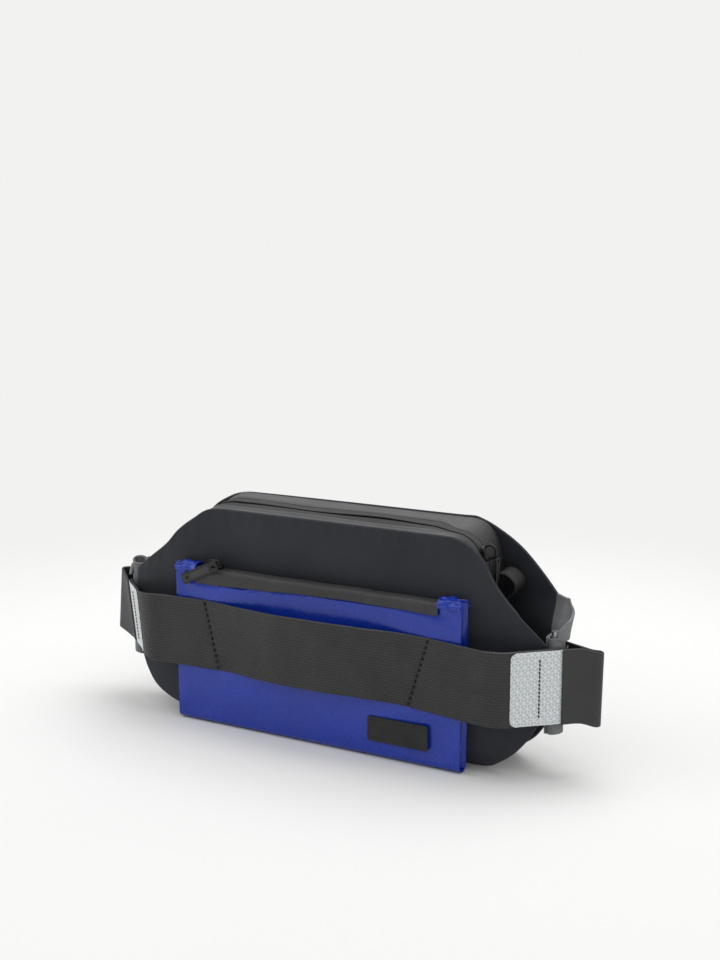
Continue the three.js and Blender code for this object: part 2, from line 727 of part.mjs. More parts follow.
// A side gusset folds inward: a V in plan between the two walls.
function pouchPleat() {
  const inset = TARP_T + GAP + PLEAT_T;
  const end = POUCH_HALF - PLEAT_INSET;
  return [
    v2(end, POUCH_FRONT + inset),
    v2(end - PLEAT_IN, (POUCH_FRONT + POUCH_BACK) / 2),
    v2(end, POUCH_BACK - inset),
  ];
}

add("pouch_shell", pouchShell(), tarpaulin);
eachSide("pouch_gusset", pouchPleat(), PLEAT_T, 2.2, POUCH_H - 1, tarpaulin);

const pouchCoilY = (POUCH_FRONT + POUCH_BACK) / 2;
const coilSide = POUCH_COIL_W / 2 + GAP;

function stripFront() {
  const y0 = POUCH_FRONT - STRIP_PROUD;
  return alongX(
    [
      v2(y0, STRIP_LOW),
      v2(y0 + STRIP_T, STRIP_LOW),
      v2(y0 + STRIP_T, STRIP_TOP - STRIP_T),
      v2(pouchCoilY - coilSide, STRIP_TOP - STRIP_T),
      v2(pouchCoilY - coilSide, STRIP_TOP),
      v2(y0 + 1, STRIP_TOP),
      v2(y0, STRIP_TOP - 1),
    ],
    ZIP_HALF,
  );
}

function stripRear() {
  return alongX(
    [
      v2(pouchCoilY + coilSide, STRIP_TOP - STRIP_T),
      v2(POUCH_BACK, STRIP_TOP - STRIP_T),
      v2(POUCH_BACK, STRIP_TOP),
      v2(pouchCoilY + coilSide, STRIP_TOP),
    ],
    ZIP_HALF,
  );
}
add("pouch_zip_strip_front", stripFront(), rubber);
add("pouch_zip_strip_rear", stripRear(), rubber);
add(
  "pouch_zip_coil",
  block(
    -ZIP_HALF,
    pouchCoilY - POUCH_COIL_W / 2,
    STRIP_TOP - STRIP_T,
    ZIP_HALF,
    pouchCoilY + POUCH_COIL_W / 2,
    STRIP_TOP + COIL_PROUD,
  ),
  zipPlastic,
);

function roundedPlate(width, height, radius, thickness) {
  const w = width / 2 - radius;
  const h = height / 2 - radius;
  const outline = new THREE.Shape();
  outline.absarc(w, h, radius, 0, Math.PI / 2);
  outline.absarc(-w, h, radius, Math.PI / 2, Math.PI);
  outline.absarc(-w, -h, radius, Math.PI, 1.5 * Math.PI);
  outline.absarc(w, -h, radius, 1.5 * Math.PI, 2 * Math.PI);
  return new THREE.ExtrudeGeometry(outline, { depth: thickness, bevelEnabled: false, curveSegments: 4 });
}

function label() {
  const plate = roundedPlate(LABEL_L, LABEL_H, LABEL_R, LABEL_T);
  plate.rotateX(Math.PI / 2);
  plate.translate(LABEL_X, POUCH_FRONT - GAP, LABEL_Z);
  return plate;
}
add("pouch_label", label(), rubber);

// ---------- pouch zip slider, bail and puller ----------

const sliderLow = STRIP_TOP + COIL_PROUD + GAP;
const sliderHigh = sliderLow + POUCH_SLIDER_T;
const pullerRootX = POUCH_SLIDER_X + POUCH_SLIDER_L / 2 + 1;
const pullerY = POUCH_FRONT - STRIP_PROUD - PULLER_STAND;
const pullerRootZ = sliderHigh + PULLER_RISE;

function pouchBail() {
  const start = POUCH_SLIDER_X - POUCH_SLIDER_L / 2 + 1;
  const end = pullerRootX;
  const rise = sliderHigh + GAP;
  const foot = block(start, pouchCoilY - 3.5, rise, end - 2.5, pouchCoilY + 1, rise + BAIL_T);
  const arm = block(end - 2.5, pullerY + POUCH_PULLER_T / 2 + GAP + 0.3, rise, end + 1, pouchCoilY + 1, rise + BAIL_T);
  return join(foot, arm);
}

function pullerPlate(length, width, thickness) {
  const outline = new THREE.Shape();
  outline.moveTo(-width / 2, 0);
  outline.lineTo(-width / 2, -length + 2);
  outline.lineTo(-width / 2 + 2, -length);
  outline.lineTo(width / 2 - 2, -length);
  outline.lineTo(width / 2, -length + 2);
  outline.lineTo(width / 2, 0);
  const plate = new THREE.ExtrudeGeometry(outline, { depth: thickness, bevelEnabled: false });
  plate.translate(0, 0, -thickness / 2);
  return plate;
}

function pouchPuller() {
  const plate = pullerPlate(POUCH_PULLER_L, POUCH_PULLER_W, POUCH_PULLER_T);
  plate.rotateX(Math.PI / 2);
  plate.rotateY(radians(90 - POUCH_PULLER_DIP));
  plate.translate(pullerRootX, pullerY, pullerRootZ);
  return plate;
}

add(
  "pouch_zip_slider",
  block(
    POUCH_SLIDER_X - POUCH_SLIDER_L / 2,
    pouchCoilY - POUCH_SLIDER_W / 2,
    sliderLow,
    POUCH_SLIDER_X + POUCH_SLIDER_L / 2,
    pouchCoilY + POUCH_SLIDER_W / 2,
    sliderHigh,
  ),
  blackMetal,
);
add("pouch_zip_bail", pouchBail(), blackMetal);
add("pouch_zip_puller", pouchPuller(), blackMetal);

// ---------- main zip slider, bail and puller, at the right top corner ----------

// Place on the corner at a radius and an angle over the horizontal.
function onCorner(radius, degrees) {
  const angle = radians(degrees);
  return new THREE.Vector3(TOP_HALF + radius * Math.cos(angle), ZIP_Y, CORNER_Z + radius * Math.sin(angle));
}

const slideR = CORNER_R + COIL_T / 2 + GAP;

// A block bent round the corner, between two radii and two angles.
function cornerBlock(inner, outer, fromDegrees, toDegrees, width) {
  const steps = [];
  for (let i = 0; i <= 4; i += 1) {
    steps.push(fromDegrees + ((toDegrees - fromDegrees) * i) / 4);
  }
  return bend(steps, [0, 1], (degrees, share, layer) => {
    const place = onCorner(layer > 0 ? outer : inner, degrees);
    place.y += width * (0.5 - share);
    return place;
  });
}

const sliderSpan = THREE.MathUtils.radToDeg(SLIDER_L / slideR) / 2;
const bailLow = SLIDER_ANGLE - sliderSpan + 3;
const bailHigh = SLIDER_ANGLE + sliderSpan - 3;
const bailInner = slideR + SLIDER_T + GAP;
const bailOuter = bailInner + BAIL_H - BAIL_T;

const sliderFrom = SLIDER_ANGLE - sliderSpan;
const sliderTo = SLIDER_ANGLE + sliderSpan;
add("main_zip_slider", cornerBlock(slideR, slideR + SLIDER_T, sliderFrom, sliderTo, SLIDER_W), blackMetal);

function mainBail() {
  const arch = cornerBlock(bailInner, bailOuter + BAIL_T, bailLow, bailHigh, BAIL_T + 0.4);
  const hole = cornerBlock(bailInner + BAIL_T, bailOuter, bailLow + 4, bailHigh - 4, BAIL_T + 4);
  return cut(arch, hole);
}
add("main_zip_bail", mainBail(), blackMetal);

const hang = onCorner(bailOuter + BAIL_T, bailLow);
const hangX = hang.x + PULLER_T / 2 + HANG_GAP;

function mainPuller() {
  const plate = pullerPlate(PULLER_L, PULLER_W, PULLER_T);
  plate.rotateX(Math.PI / 2);
  plate.rotateZ(Math.PI / 2);
  plate.translate(hangX, ZIP_Y, hang.z);
  return plate;
}
add("main_zip_puller", mainPuller(), blackMetal);

export default model;
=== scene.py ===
"""Looks of the hip bag: cloth shell, webbing and belt, tarpaulin pouch, zips and buckle.

Shapes are worked out in millimetres in the row frame and put into meshes in metres.
"""

import math

import bmesh
import bpy
import numpy as np
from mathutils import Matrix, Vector


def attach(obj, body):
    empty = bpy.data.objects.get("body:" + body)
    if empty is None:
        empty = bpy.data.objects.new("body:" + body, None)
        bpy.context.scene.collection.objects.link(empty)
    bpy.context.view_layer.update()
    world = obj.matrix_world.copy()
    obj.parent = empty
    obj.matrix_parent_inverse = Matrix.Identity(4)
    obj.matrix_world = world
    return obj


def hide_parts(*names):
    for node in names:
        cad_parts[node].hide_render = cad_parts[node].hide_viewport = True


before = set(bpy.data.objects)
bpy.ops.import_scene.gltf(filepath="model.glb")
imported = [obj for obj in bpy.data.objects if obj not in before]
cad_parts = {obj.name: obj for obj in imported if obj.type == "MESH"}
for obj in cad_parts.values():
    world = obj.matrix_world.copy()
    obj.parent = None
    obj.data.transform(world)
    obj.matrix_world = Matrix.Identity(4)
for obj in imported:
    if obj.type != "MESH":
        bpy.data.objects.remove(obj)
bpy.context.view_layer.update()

MM = 0.001
PI = math.pi

# ---------- sizes in millimetres, as in the part ----------

TOP_HALF = 95.0
TOP_Z = 158.0
CORNER_R = 23.0
CORNER_Z = TOP_Z - CORNER_R
ROD_X, ROD_Y = 169.0, -17.0
WEB_LOW, WEB_HIGH, WEB_T = 43.0, 93.0, 1.6
WRAP_R = 7.3
POUCH_HALF, POUCH_FRONT, POUCH_BACK, POUCH_TOP = 114.0, -46.0, -35.0, 119.0
ZIP_Y = -17.0
ZIP_HALF = 97.0
COIL_Y = -40.5
BELT_Y = 36.3
WING_END, FLAP_FLAT, FLAP_R = 161.0, 7, 8.0
WEB_MID = (WEB_LOW + WEB_HIGH) / 2

# ---------- arrays ----------


def unit(v):
    """Each vector divided by its length."""
    return v / np.maximum(np.linalg.norm(v, axis=-1, keepdims=True), 1e-12)


def step(x, low, high):
    """0 below low, 1 above high, and 3t^2 - 2t^3 between them."""
    t = np.clip((np.asarray(x, float) - low) / (high - low), 0, 1)
    return t * t * (3 - 2 * t)


def bell(x, middle, width):
    """exp(-((x - middle) / width)^2)."""
    return np.exp(-(((np.asarray(x, float) - middle) / width) ** 2))


def glide(x, stops, values):
    """Cubic through (stops, values) that never overshoots: each inner slope is the harmonic mean of its
    two chords'."""
    stops, values = np.asarray(stops, float), np.asarray(values, float)
    h = np.diff(stops)
    chord = np.diff(values) / h
    a, b = chord[:-1], chord[1:]
    inner = np.where(a * b > 0, 2 * a * b / np.where(a + b == 0, 1, a + b), 0)
    slope = np.concatenate([chord[:1], inner, chord[-1:]])
    x = np.clip(x, stops[0], stops[-1])
    i = np.clip(np.searchsorted(stops, x, side="right") - 1, 0, len(h) - 1)
    t = (x - stops[i]) / h[i]
    return (
        (2 * t**3 - 3 * t**2 + 1) * values[i]
        + (t**3 - 2 * t**2 + t) * h[i] * slope[i]
        + (3 * t**2 - 2 * t**3) * values[i + 1]
        + (t**3 - t**2) * h[i] * slope[i + 1]
    )


def arc_length(points):
    """Distance along a row of points, from 0 at the first."""
    return np.concatenate([[0], np.cumsum(np.linalg.norm(np.diff(points, axis=0), axis=1))])


def line(points, gap):
    """Points `gap` apart along the cubic Hermite curve whose slopes are central differences on the
    chord length."""
    points = np.asarray(points, float)
    c = arc_length(points)
    slope = np.gradient(points, c, axis=0)
    at = np.linspace(0, c[-1], 40 * len(points))
    i = np.clip(np.searchsorted(c, at, side="right") - 1, 0, len(c) - 2)
    h = (c[i + 1] - c[i])[:, None]
    t = (at - c[i])[:, None] / h
    dense = (
        (2 * t**3 - 3 * t**2 + 1) * points[i]
        + (t**3 - 2 * t**2 + t) * h * slope[i]
        + (3 * t**2 - 2 * t**3) * points[i + 1]
        + (t**3 - t**2) * h * slope[i + 1]
    )
    s = arc_length(dense)
    even = np.linspace(0, s[-1], max(int(s[-1] / gap), 2) + 1)
    return np.stack([np.interp(even, s, dense[:, k]) for k in range(points.shape[1])], 1)


def ripple(u, v, seed, waves, reach):
    """Sum of sines along random directions, with wavelengths from reach/2 to reach, over the square
    root of their number."""
    rng = np.random.default_rng(seed)
    total = np.zeros(np.broadcast(u, v).shape)
    for _ in range(waves):
        turn, phase, size = rng.uniform(0, PI), rng.uniform(0, 2 * PI), reach * rng.uniform(0.5, 1)
        total += np.sin(2 * PI * (u * math.cos(turn) + v * math.sin(turn)) / size + phase)
    return total / math.sqrt(waves)


def crumple(u, v, seed, waves, reach):
    """Sum of folded sines, 1 - 2|sin|, along random directions: sharp crests between soft hollows."""
    rng = np.random.default_rng(seed)
    total = np.zeros(np.broadcast(u, v).shape)
    for _ in range(waves):
        turn, phase, size = rng.uniform(0, PI), rng.uniform(0, 2 * PI), reach * rng.uniform(0.5, 1)
        total += 1 - 2 * np.abs(np.sin(PI * (u * math.cos(turn) + v * math.sin(turn)) / size + phase))
    return total / math.sqrt(waves)


# ---------- meshes ----------

LOOKS = {}


def piece(name, points, faces, look, body="bag", stands_for=(), uv=None, sharp=38):
    """A mesh piece from points in millimetres. It rides on a body and takes a look's material."""
    mesh = bpy.data.meshes.new(name)
    mesh.from_pydata((np.asarray(points, float) * MM).tolist(), [], faces)
    bm = bmesh.new()
    bm.from_mesh(mesh)
    bmesh.ops.recalc_face_normals(bm, faces=bm.faces)
    bm.to_mesh(mesh)
    bm.free()
    if uv is not None:
        layer = mesh.uv_layers.new(name="cloth")
        corner = np.zeros(len(mesh.loops), np.int32)
        mesh.loops.foreach_get("vertex_index", corner)
        layer.data.foreach_set("uv", (np.asarray(uv, float) * MM)[corner].astype(np.float32).ravel())
    mesh.polygons.foreach_set("use_smooth", np.ones(len(mesh.polygons), bool))
    mesh.set_sharp_from_angle(angle=math.radians(sharp))
    obj = bpy.data.objects.new(name, mesh)
    bpy.context.scene.collection.objects.link(obj)
    material, slot = LOOKS[look]
    mesh.materials.append(material)
    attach(obj, body)
    if stands_for:
        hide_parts(*stands_for)
    return obj


def grid_faces(n, m, round_n=False, round_m=False, offset=0):
    """Quads of an n by m grid of points, closed on itself in either direction."""
    i, j = np.meshgrid(np.arange(n if round_n else n - 1), np.arange(m if round_m else m - 1), indexing="ij")
    a, b = (i + 1) % n, (j + 1) % m
    return (np.stack([i * m + j, a * m + j, a * m + b, i * m + b], -1).reshape(-1, 4) + offset).tolist()


def shell(points, thickness, plane, lip=0.4):
    """Closed sheet round a grid of points. Its skins are the grid moved half the thickness each way
    along its normal,
    and its rim is a ring pushed out by lip times the thickness. plane gives each grid point's place on
    the flat cloth."""
    n, m, _ = points.shape
    du, dv = np.gradient(points, axis=0), np.gradient(points, axis=1)
    normal = unit(np.cross(du, dv))
    half = np.broadcast_to(np.asarray(thickness, float) / 2, (n, m))[..., None]
    i = np.r_[np.zeros(m - 1, int), np.arange(n - 1), np.full(m - 1, n - 1), np.arange(n - 1, 0, -1)]
    j = np.r_[np.arange(m - 1), np.full(n - 1, m - 1), np.arange(m - 1, 0, -1), np.zeros(n - 1, int)]
    out = (
        unit(du[i, j]) * ((i == n - 1).astype(float) - (i == 0))[:, None]
        + unit(dv[i, j]) * ((j == m - 1).astype(float) - (j == 0))[:, None]
    )
    ring = points[i, j] + unit(out) * 2 * half[i, j] * lip
    rim, count = i * m + j, n * m
    after = np.roll(rim, -1)
    r = 2 * count + np.arange(len(rim))
    r_after = np.roll(r, -1)
    faces = grid_faces(n, m) + [f[::-1] for f in grid_faces(n, m, offset=count)]
    faces += np.stack([rim, r, r_after, after], -1).tolist()
    faces += np.stack([r, rim + count, after + count, r_after], -1).tolist()
    all_points = np.concatenate(
        [(points + normal * half).reshape(-1, 3), (points - normal * half).reshape(-1, 3), ring]
    )
    flat = plane.reshape(-1, 2)
    return all_points, faces, np.concatenate([flat, flat, flat[rim]])


def sheet(name, points, thickness, plane, look, **more):
    """A piece made of one shell."""
    p, f, uv = shell(points, thickness, plane, more.pop("lip", 0.4))
    return piece(name, p, f, look, uv=uv, **more)


def standing(path, low, high, rows, thickness=WEB_T):
    """Grid of a strip on edge along a path in plan, from height low to high, and its flat plane (along,
    height)."""
    s = arc_length(path)
    z = np.linspace(low, high, rows)
    points = np.zeros((len(path), rows, 3))
    points[..., :2] = path[:, None]
    points[..., 2] = z
    plane = np.stack(np.broadcast_arrays(s[:, None], z[None]), -1)
    return points, plane


def sideways(path):
    """Unit normal in plan of each point of a path, to the right of its way."""
    way = unit(np.gradient(path, axis=0))
    return np.stack([way[:, 1], -way[:, 0]], 1)


def rounded(width, height, radius, steps=6):
    """Outline of a rectangle with round corners, anticlockwise about its middle."""
    a = np.linspace(0, PI / 2, steps)
    corner = radius * np.stack([np.cos(a), np.sin(a)], 1) + [width / 2 - radius, height / 2 - radius]
    second = (corner * [-1, 1])[::-1]
    return np.concatenate([corner, second, -corner, -second])


def swept(path, section, up, taper=None):
    """Grid of a closed section (side, up) carried along a path: side is way x up."""
    way = unit(np.gradient(path, axis=0))
    up = np.broadcast_to(np.asarray(up, float), path.shape)
    side = unit(np.cross(way, up))
    top = np.cross(side, way)
    scale = np.ones(len(path)) if taper is None else taper
    return (
        path[:, None]
        + side[:, None] * (section[None, :, :1] * scale[:, None, None])
        + top[:, None] * (section[None, :, 1:] * scale[:, None, None])
    )


def closed_tube(grid):
    """Points and faces of a grid that is round in its second direction, with a face over each end."""
    n, m, _ = grid.shape
    faces = grid_faces(n, m, round_m=True) + [list(range(m)), list(range((n - 1) * m, n * m))[::-1]]
    return grid.reshape(-1, 3), faces


def rod(path, radius, look, name, up=(0, 0, 1), sides=12, ends=True, **more):
    """A round bar along a path; its ends narrow over the last points to close it softly."""
    a = np.linspace(0, 2 * PI, sides, endpoint=False)
    section = radius * np.stack([np.cos(a), np.sin(a)], 1)
    taper = np.ones(len(path))
    if ends:
        taper[[0, -1]] = 0.6
    p, f = closed_tube(swept(np.asarray(path, float), section, up, taper))
    return piece(name, p, f, look, **more)


def offset_loop(outline, inset):
    """A closed outline moved inwards along its corner normals."""
    before, after = np.roll(outline, 1, 0), np.roll(outline, -1, 0)
    way = unit(after - before)
    return outline - np.stack([way[:, 1], -way[:, 0]], 1) * inset


def plate(outline, rings, place):
    """A plate whose rings are the outline moved in by `inset` at `height`; place turns (x, y, height)
    into a point."""
    layers = [np.c_[offset_loop(outline, inset), np.full(len(outline), height)] for inset, height in rings]
    grid = place(np.stack(layers))
    return closed_tube(grid)


def washer(outer, inner, thickness, edge, place):
    """A plate with a hole: rings run up the outer wall, over to the hole and down it, and close on
    themselves."""
    h, e = thickness, edge
    loops = [
        (outer, e, 0), (outer, 0, e), (outer, 0, h - e), (outer, e, h), (inner, -e, h), (inner, 0, h - e),
        (inner, 0, e), (inner, -e, 0)
    ]
    layers = [np.c_[offset_loop(o, inset), np.full(len(o), z)] for o, inset, z in loops]
    grid = place(np.stack(layers))
    n, m, _ = grid.shape
    return grid.reshape(-1, 3), grid_faces(n, m, round_n=True, round_m=True)


def stitches(name, centres, along, normal, length, width, body="bag", look="thread"):
    """Short threads: each a small closed bead, its radius width/2 times (1 - s^4)^(1/2) for s from -1
    to 1 along it."""
    s = np.linspace(-1, 1, 6)
    a = np.linspace(0, 2 * PI, 6, endpoint=False)
    r = width / 2 * np.sqrt(np.maximum(1 - s**4, 0.03))
    side = unit(np.cross(along, normal))
    grid = (
        centres[:, None, None]
        + along[:, None, None] * (s * length / 2)[None, :, None, None]
        + side[:, None, None] * (r[:, None] * np.cos(a))[None, :, :, None]
        + normal[:, None, None] * (0.7 * r[:, None] * np.sin(a) + 0.25 * width * (1 - s**2)[:, None])[
            None, :, :, None
        ]
    )
    points, faces = [], []
    for k, bead in enumerate(grid):
        p, f = closed_tube(bead)
        points.append(p)
        faces += [[v + k * len(p) for v in face] for face in f]
    return piece(name, np.concatenate(points), faces, look, body=body, sharp=80)


def softened(name, node, look, body, radius):
    """A copy of a CAD node with its loose triangles merged, flat faces joined and edges rounded by a bevel."""
    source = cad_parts[node]
    mesh = source.data.copy()
    mesh.materials.clear()
    bm = bmesh.new()
    bm.from_mesh(mesh)
    bmesh.ops.remove_doubles(bm, verts=bm.verts, dist=1e-5)
    bmesh.ops.dissolve_limit(bm, angle_limit=math.radians(2), verts=bm.verts, edges=bm.edges)
    bmesh.ops.recalc_face_normals(bm, faces=bm.faces)
    bm.to_mesh(mesh)
    bm.free()
    mesh.name = name
    obj = bpy.data.objects.new(name, mesh)
    bpy.context.scene.collection.objects.link(obj)
    bevel = obj.modifiers.new("edge", "BEVEL")
    bevel.width, bevel.segments, bevel.limit_method, bevel.angle_limit = radius * MM, 3, "ANGLE", math.radians(
        35
    )
    bevel.use_clamp_overlap = True
    mesh.polygons.foreach_set("use_smooth", np.ones(len(mesh.polygons), bool))
    mesh.set_sharp_from_angle(angle=math.radians(60))
    material, slot = LOOKS[look]
    mesh.materials.append(material)
    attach(obj, body)
    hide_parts(node)
    return obj


# ---------- shader building ----------


def socket(tree, target, value):
    """Links a socket to an input, or sets the input's own value."""
    if isinstance(value, bpy.types.NodeSocket):
        tree.links.new(value, target)
    else:
        target.default_value = value


def shader_node(tree, kind, inputs=(), **settings):
    """A node with its settings and its inputs, given as (name or number, value or socket)."""
    n = tree.nodes.new(kind)
    for key, value in settings.items():
        setattr(n, key, value)
    for key, value in inputs:
        socket(tree, n.inputs[key], value)
    return n


def calc(tree, operation, *values, clamp=False):
    """A Math node's output."""
    return shader_node(
        tree, "ShaderNodeMath", list(enumerate(values)), operation=operation, use_clamp=clamp
    ).outputs[0]


def vector(tree, operation, *values, out=0):
    """A Vector Math node's output."""
    return shader_node(tree, "ShaderNodeVectorMath", list(enumerate(values)), operation=operation).outputs[out]


def ramp(tree, value, low, high, to_low=0.0, to_high=1.0):
    """A smooth step of a value between two limits."""
    n = shader_node(
        tree, "ShaderNodeMapRange", [(0, value), (1, low), (2, high), (3, to_low), (4, to_high)],
        interpolation_type="SMOOTHSTEP"
    )
    return n.outputs[0]


def mixed(tree, factor, a, b):
    """Two colours mixed by a mask."""
    n = tree.nodes.new("ShaderNodeMix")
    n.data_type = "RGBA"
    for i, value in ((0, factor), (6, a), (7, b)):
        socket(tree, n.inputs[i], value)
    return n.outputs[2]


def group(name, inputs, outputs):
    """An empty node group with named sockets. Returns its tree, input node and output node."""
    tree = bpy.data.node_groups.new(name, "ShaderNodeTree")
    for socket_name, kind, value in inputs:
        s = tree.interface.new_socket(name=socket_name, in_out="INPUT", socket_type=kind)
        if value is not None:
            s.default_value = value
    for socket_name, kind in outputs:
        tree.interface.new_socket(name=socket_name, in_out="OUTPUT", socket_type=kind)
    return tree, tree.nodes.new("NodeGroupInput"), tree.nodes.new("NodeGroupOutput")


FLOAT, VEC, COLOUR = "NodeSocketFloat", "NodeSocketVector", "NodeSocketColor"


def grain_group():
    """Grain: a fine noise for bump, and a slow one for patches of wear and dust."""
    t, i, o = group(
        "Grain", [("Place", VEC, None), ("Fine", FLOAT, 900.0), ("Slow", FLOAT, 30.0)],
        [("Height", FLOAT), ("Patches", FLOAT)]
    )
    fine = shader_node(
        t, "ShaderNodeTexNoise",
        [("Vector", i.outputs[0]), ("Scale", i.outputs[1]), ("Detail", 3.0), ("Roughness", 0.6)]
    )
    slow = shader_node(
        t, "ShaderNodeTexNoise",
        [("Vector", i.outputs[0]), ("Scale", i.outputs[2]), ("Detail", 4.0), ("Roughness", 0.55)]
    )
    t.links.new(fine.outputs[0], o.inputs[0])
    t.links.new(ramp(t, slow.outputs[0], 0.35, 0.68), o.inputs[1])
    return t


def weave_group():
    """Weave: warp and weft as two crossed rows of half round threads, each row shifted by half a thread."""
    t, i, o = group(
        "Weave",
        [("Place", VEC, None), ("Warp", FLOAT, 1500.0), ("Weft", FLOAT, 1500.0), ("Slant", FLOAT, 0.5)],
        [("Height", FLOAT), ("Gaps", FLOAT)]
    )
    xyz = shader_node(t, "ShaderNodeSeparateXYZ", [(0, i.outputs[0])])
    u = calc(t, "MULTIPLY", xyz.outputs[0], i.outputs[1])
    v = calc(t, "MULTIPLY", xyz.outputs[1], i.outputs[2])
    row = calc(t, "FLOOR", v)
    shifted = calc(t, "ADD", u, calc(t, "MULTIPLY", row, i.outputs[3]))
    along = calc(t, "ABSOLUTE", calc(t, "SINE", calc(t, "MULTIPLY", shifted, PI)))
    across = calc(t, "ABSOLUTE", calc(t, "SINE", calc(t, "MULTIPLY", v, PI)))
    height = calc(t, "POWER", calc(t, "MULTIPLY", along, across), 0.5)
    t.links.new(height, o.inputs[0])
    t.links.new(ramp(t, height, 0.15, 0.6, 1.0, 0.0), o.inputs[1])
    return t


def ribs_group():
    """Ribs: lengthwise cords of a webbing, each cut into short slanted floats that lean the other way
    on the next cord."""
    t, i, o = group(
        "Ribs", [("Place", VEC, None), ("Cords", FLOAT, 500.0), ("Floats", FLOAT, 600.0)],
        [("Height", FLOAT), ("Gaps", FLOAT)]
    )
    xyz = shader_node(t, "ShaderNodeSeparateXYZ", [(0, i.outputs[0])])
    v = calc(t, "MULTIPLY", xyz.outputs[1], i.outputs[1])
    u = calc(t, "MULTIPLY", xyz.outputs[0], i.outputs[2])
    cell = calc(t, "FLOOR", v)
    inside = calc(t, "FRACT", v)
    lean = calc(t, "SUBTRACT", calc(t, "MULTIPLY", calc(t, "FRACT", calc(t, "MULTIPLY", cell, 0.5)), 4.0), 1.0)
    slanted = calc(t, "ADD", u, calc(t, "MULTIPLY", lean, calc(t, "MULTIPLY", inside, 0.5)))
    cord = calc(t, "SINE", calc(t, "MULTIPLY", inside, PI))
    float_ = calc(t, "ABSOLUTE", calc(t, "SINE", calc(t, "MULTIPLY", slanted, PI)))
    height = calc(
        t, "MULTIPLY", calc(t, "POWER", cord, 0.6), calc(t, "ADD", calc(t, "MULTIPLY", float_, 0.55), 0.45)
    )
    t.links.new(height, o.inputs[0])
    t.links.new(ramp(t, height, 0.1, 0.55, 1.0, 0.0), o.inputs[1])
    return t


def lattice_group():
    """Lattice: hexagons, each split into three rhombs. The nearest of two offset rectangular grids
    gives the cell;
    lines lie on its border and on three spokes, and Facet tells the rhombs apart."""
    t, i, o = group(
        "Lattice", [("Place", VEC, None), ("Cells", FLOAT, 200.0), ("Line", FLOAT, 0.05)],
        [("Lines", FLOAT), ("Facet", FLOAT)]
    )
    root3 = math.sqrt(3)
    p = vector(t, "SCALE", i.outputs[0])
    t.links.new(i.outputs[1], p.node.inputs["Scale"])
    size, half = (1.0, root3, 1.0), (0.5, root3 / 2, 0.5)
    flat = vector(t, "MULTIPLY", p, (1.0, 1.0, 0.0))

    def local(shift):
        moved = vector(t, "ADD", flat, shift)
        wrapped = vector(t, "WRAP", moved, size, (0.0, 0.0, 0.0))
        return vector(t, "MULTIPLY", vector(t, "SUBTRACT", wrapped, half), (1.0, 1.0, 0.0))

    a, b = local((0.0, 0.0, 0.0)), local(half)
    nearer = calc(t, "LESS_THAN", vector(t, "LENGTH", a, out=1), vector(t, "LENGTH", b, out=1))
    pick = t.nodes.new("ShaderNodeMix")
    pick.data_type = "VECTOR"
    for k, value in ((0, nearer), (4, b), (5, a)):
        socket(t, pick.inputs[k], value)
    q = pick.outputs[1]
    folded = vector(t, "ABSOLUTE", q)
    slope = vector(t, "DOT_PRODUCT", folded, (0.5, root3 / 2, 0.0), out=1)
    straight = vector(t, "DOT_PRODUCT", folded, (1.0, 0.0, 0.0), out=1)
    border = calc(t, "SUBTRACT", 0.5, calc(t, "MAXIMUM", slope, straight))
    nearest = border
    facet = 0.0
    for k, turn in enumerate((90, 210, 330)):
        c, s = math.cos(math.radians(turn)), math.sin(math.radians(turn))
        ahead = vector(t, "DOT_PRODUCT", q, (c, s, 0.0), out=1)
        beside = vector(t, "DOT_PRODUCT", q, (-s, c, 0.0), out=1)
        off = calc(
            t, "ADD", calc(t, "ABSOLUTE", beside), calc(t, "MULTIPLY", calc(t, "LESS_THAN", ahead, 0.0), 9.0)
        )
        nearest = calc(t, "MINIMUM", nearest, off)
        c2, s2 = math.cos(math.radians(turn + 60)), math.sin(math.radians(turn + 60))
        within = calc(
            t, "GREATER_THAN", vector(t, "DOT_PRODUCT", q, (c2, s2, 0.0), out=1),
            calc(t, "MULTIPLY", vector(t, "LENGTH", q, out=1), 0.5)
        )
        facet = calc(t, "ADD", facet, calc(t, "MULTIPLY", within, float(k) * 0.5))
    t.links.new(calc(t, "LESS_THAN", nearest, i.outputs[2]), o.inputs[0])
    t.links.new(facet, o.inputs[1])
    return t


GROUPS = {"grain": grain_group(), "weave": weave_group(), "ribs": ribs_group(), "lattice": lattice_group()}


def placed(tree, name, **inputs):
    """A shared group placed in a material, with its inputs."""
    n = tree.nodes.new("ShaderNodeGroup")
    n.node_tree = GROUPS[name]
    for key, value in inputs.items():
        socket(tree, n.inputs[key], value)
    return n


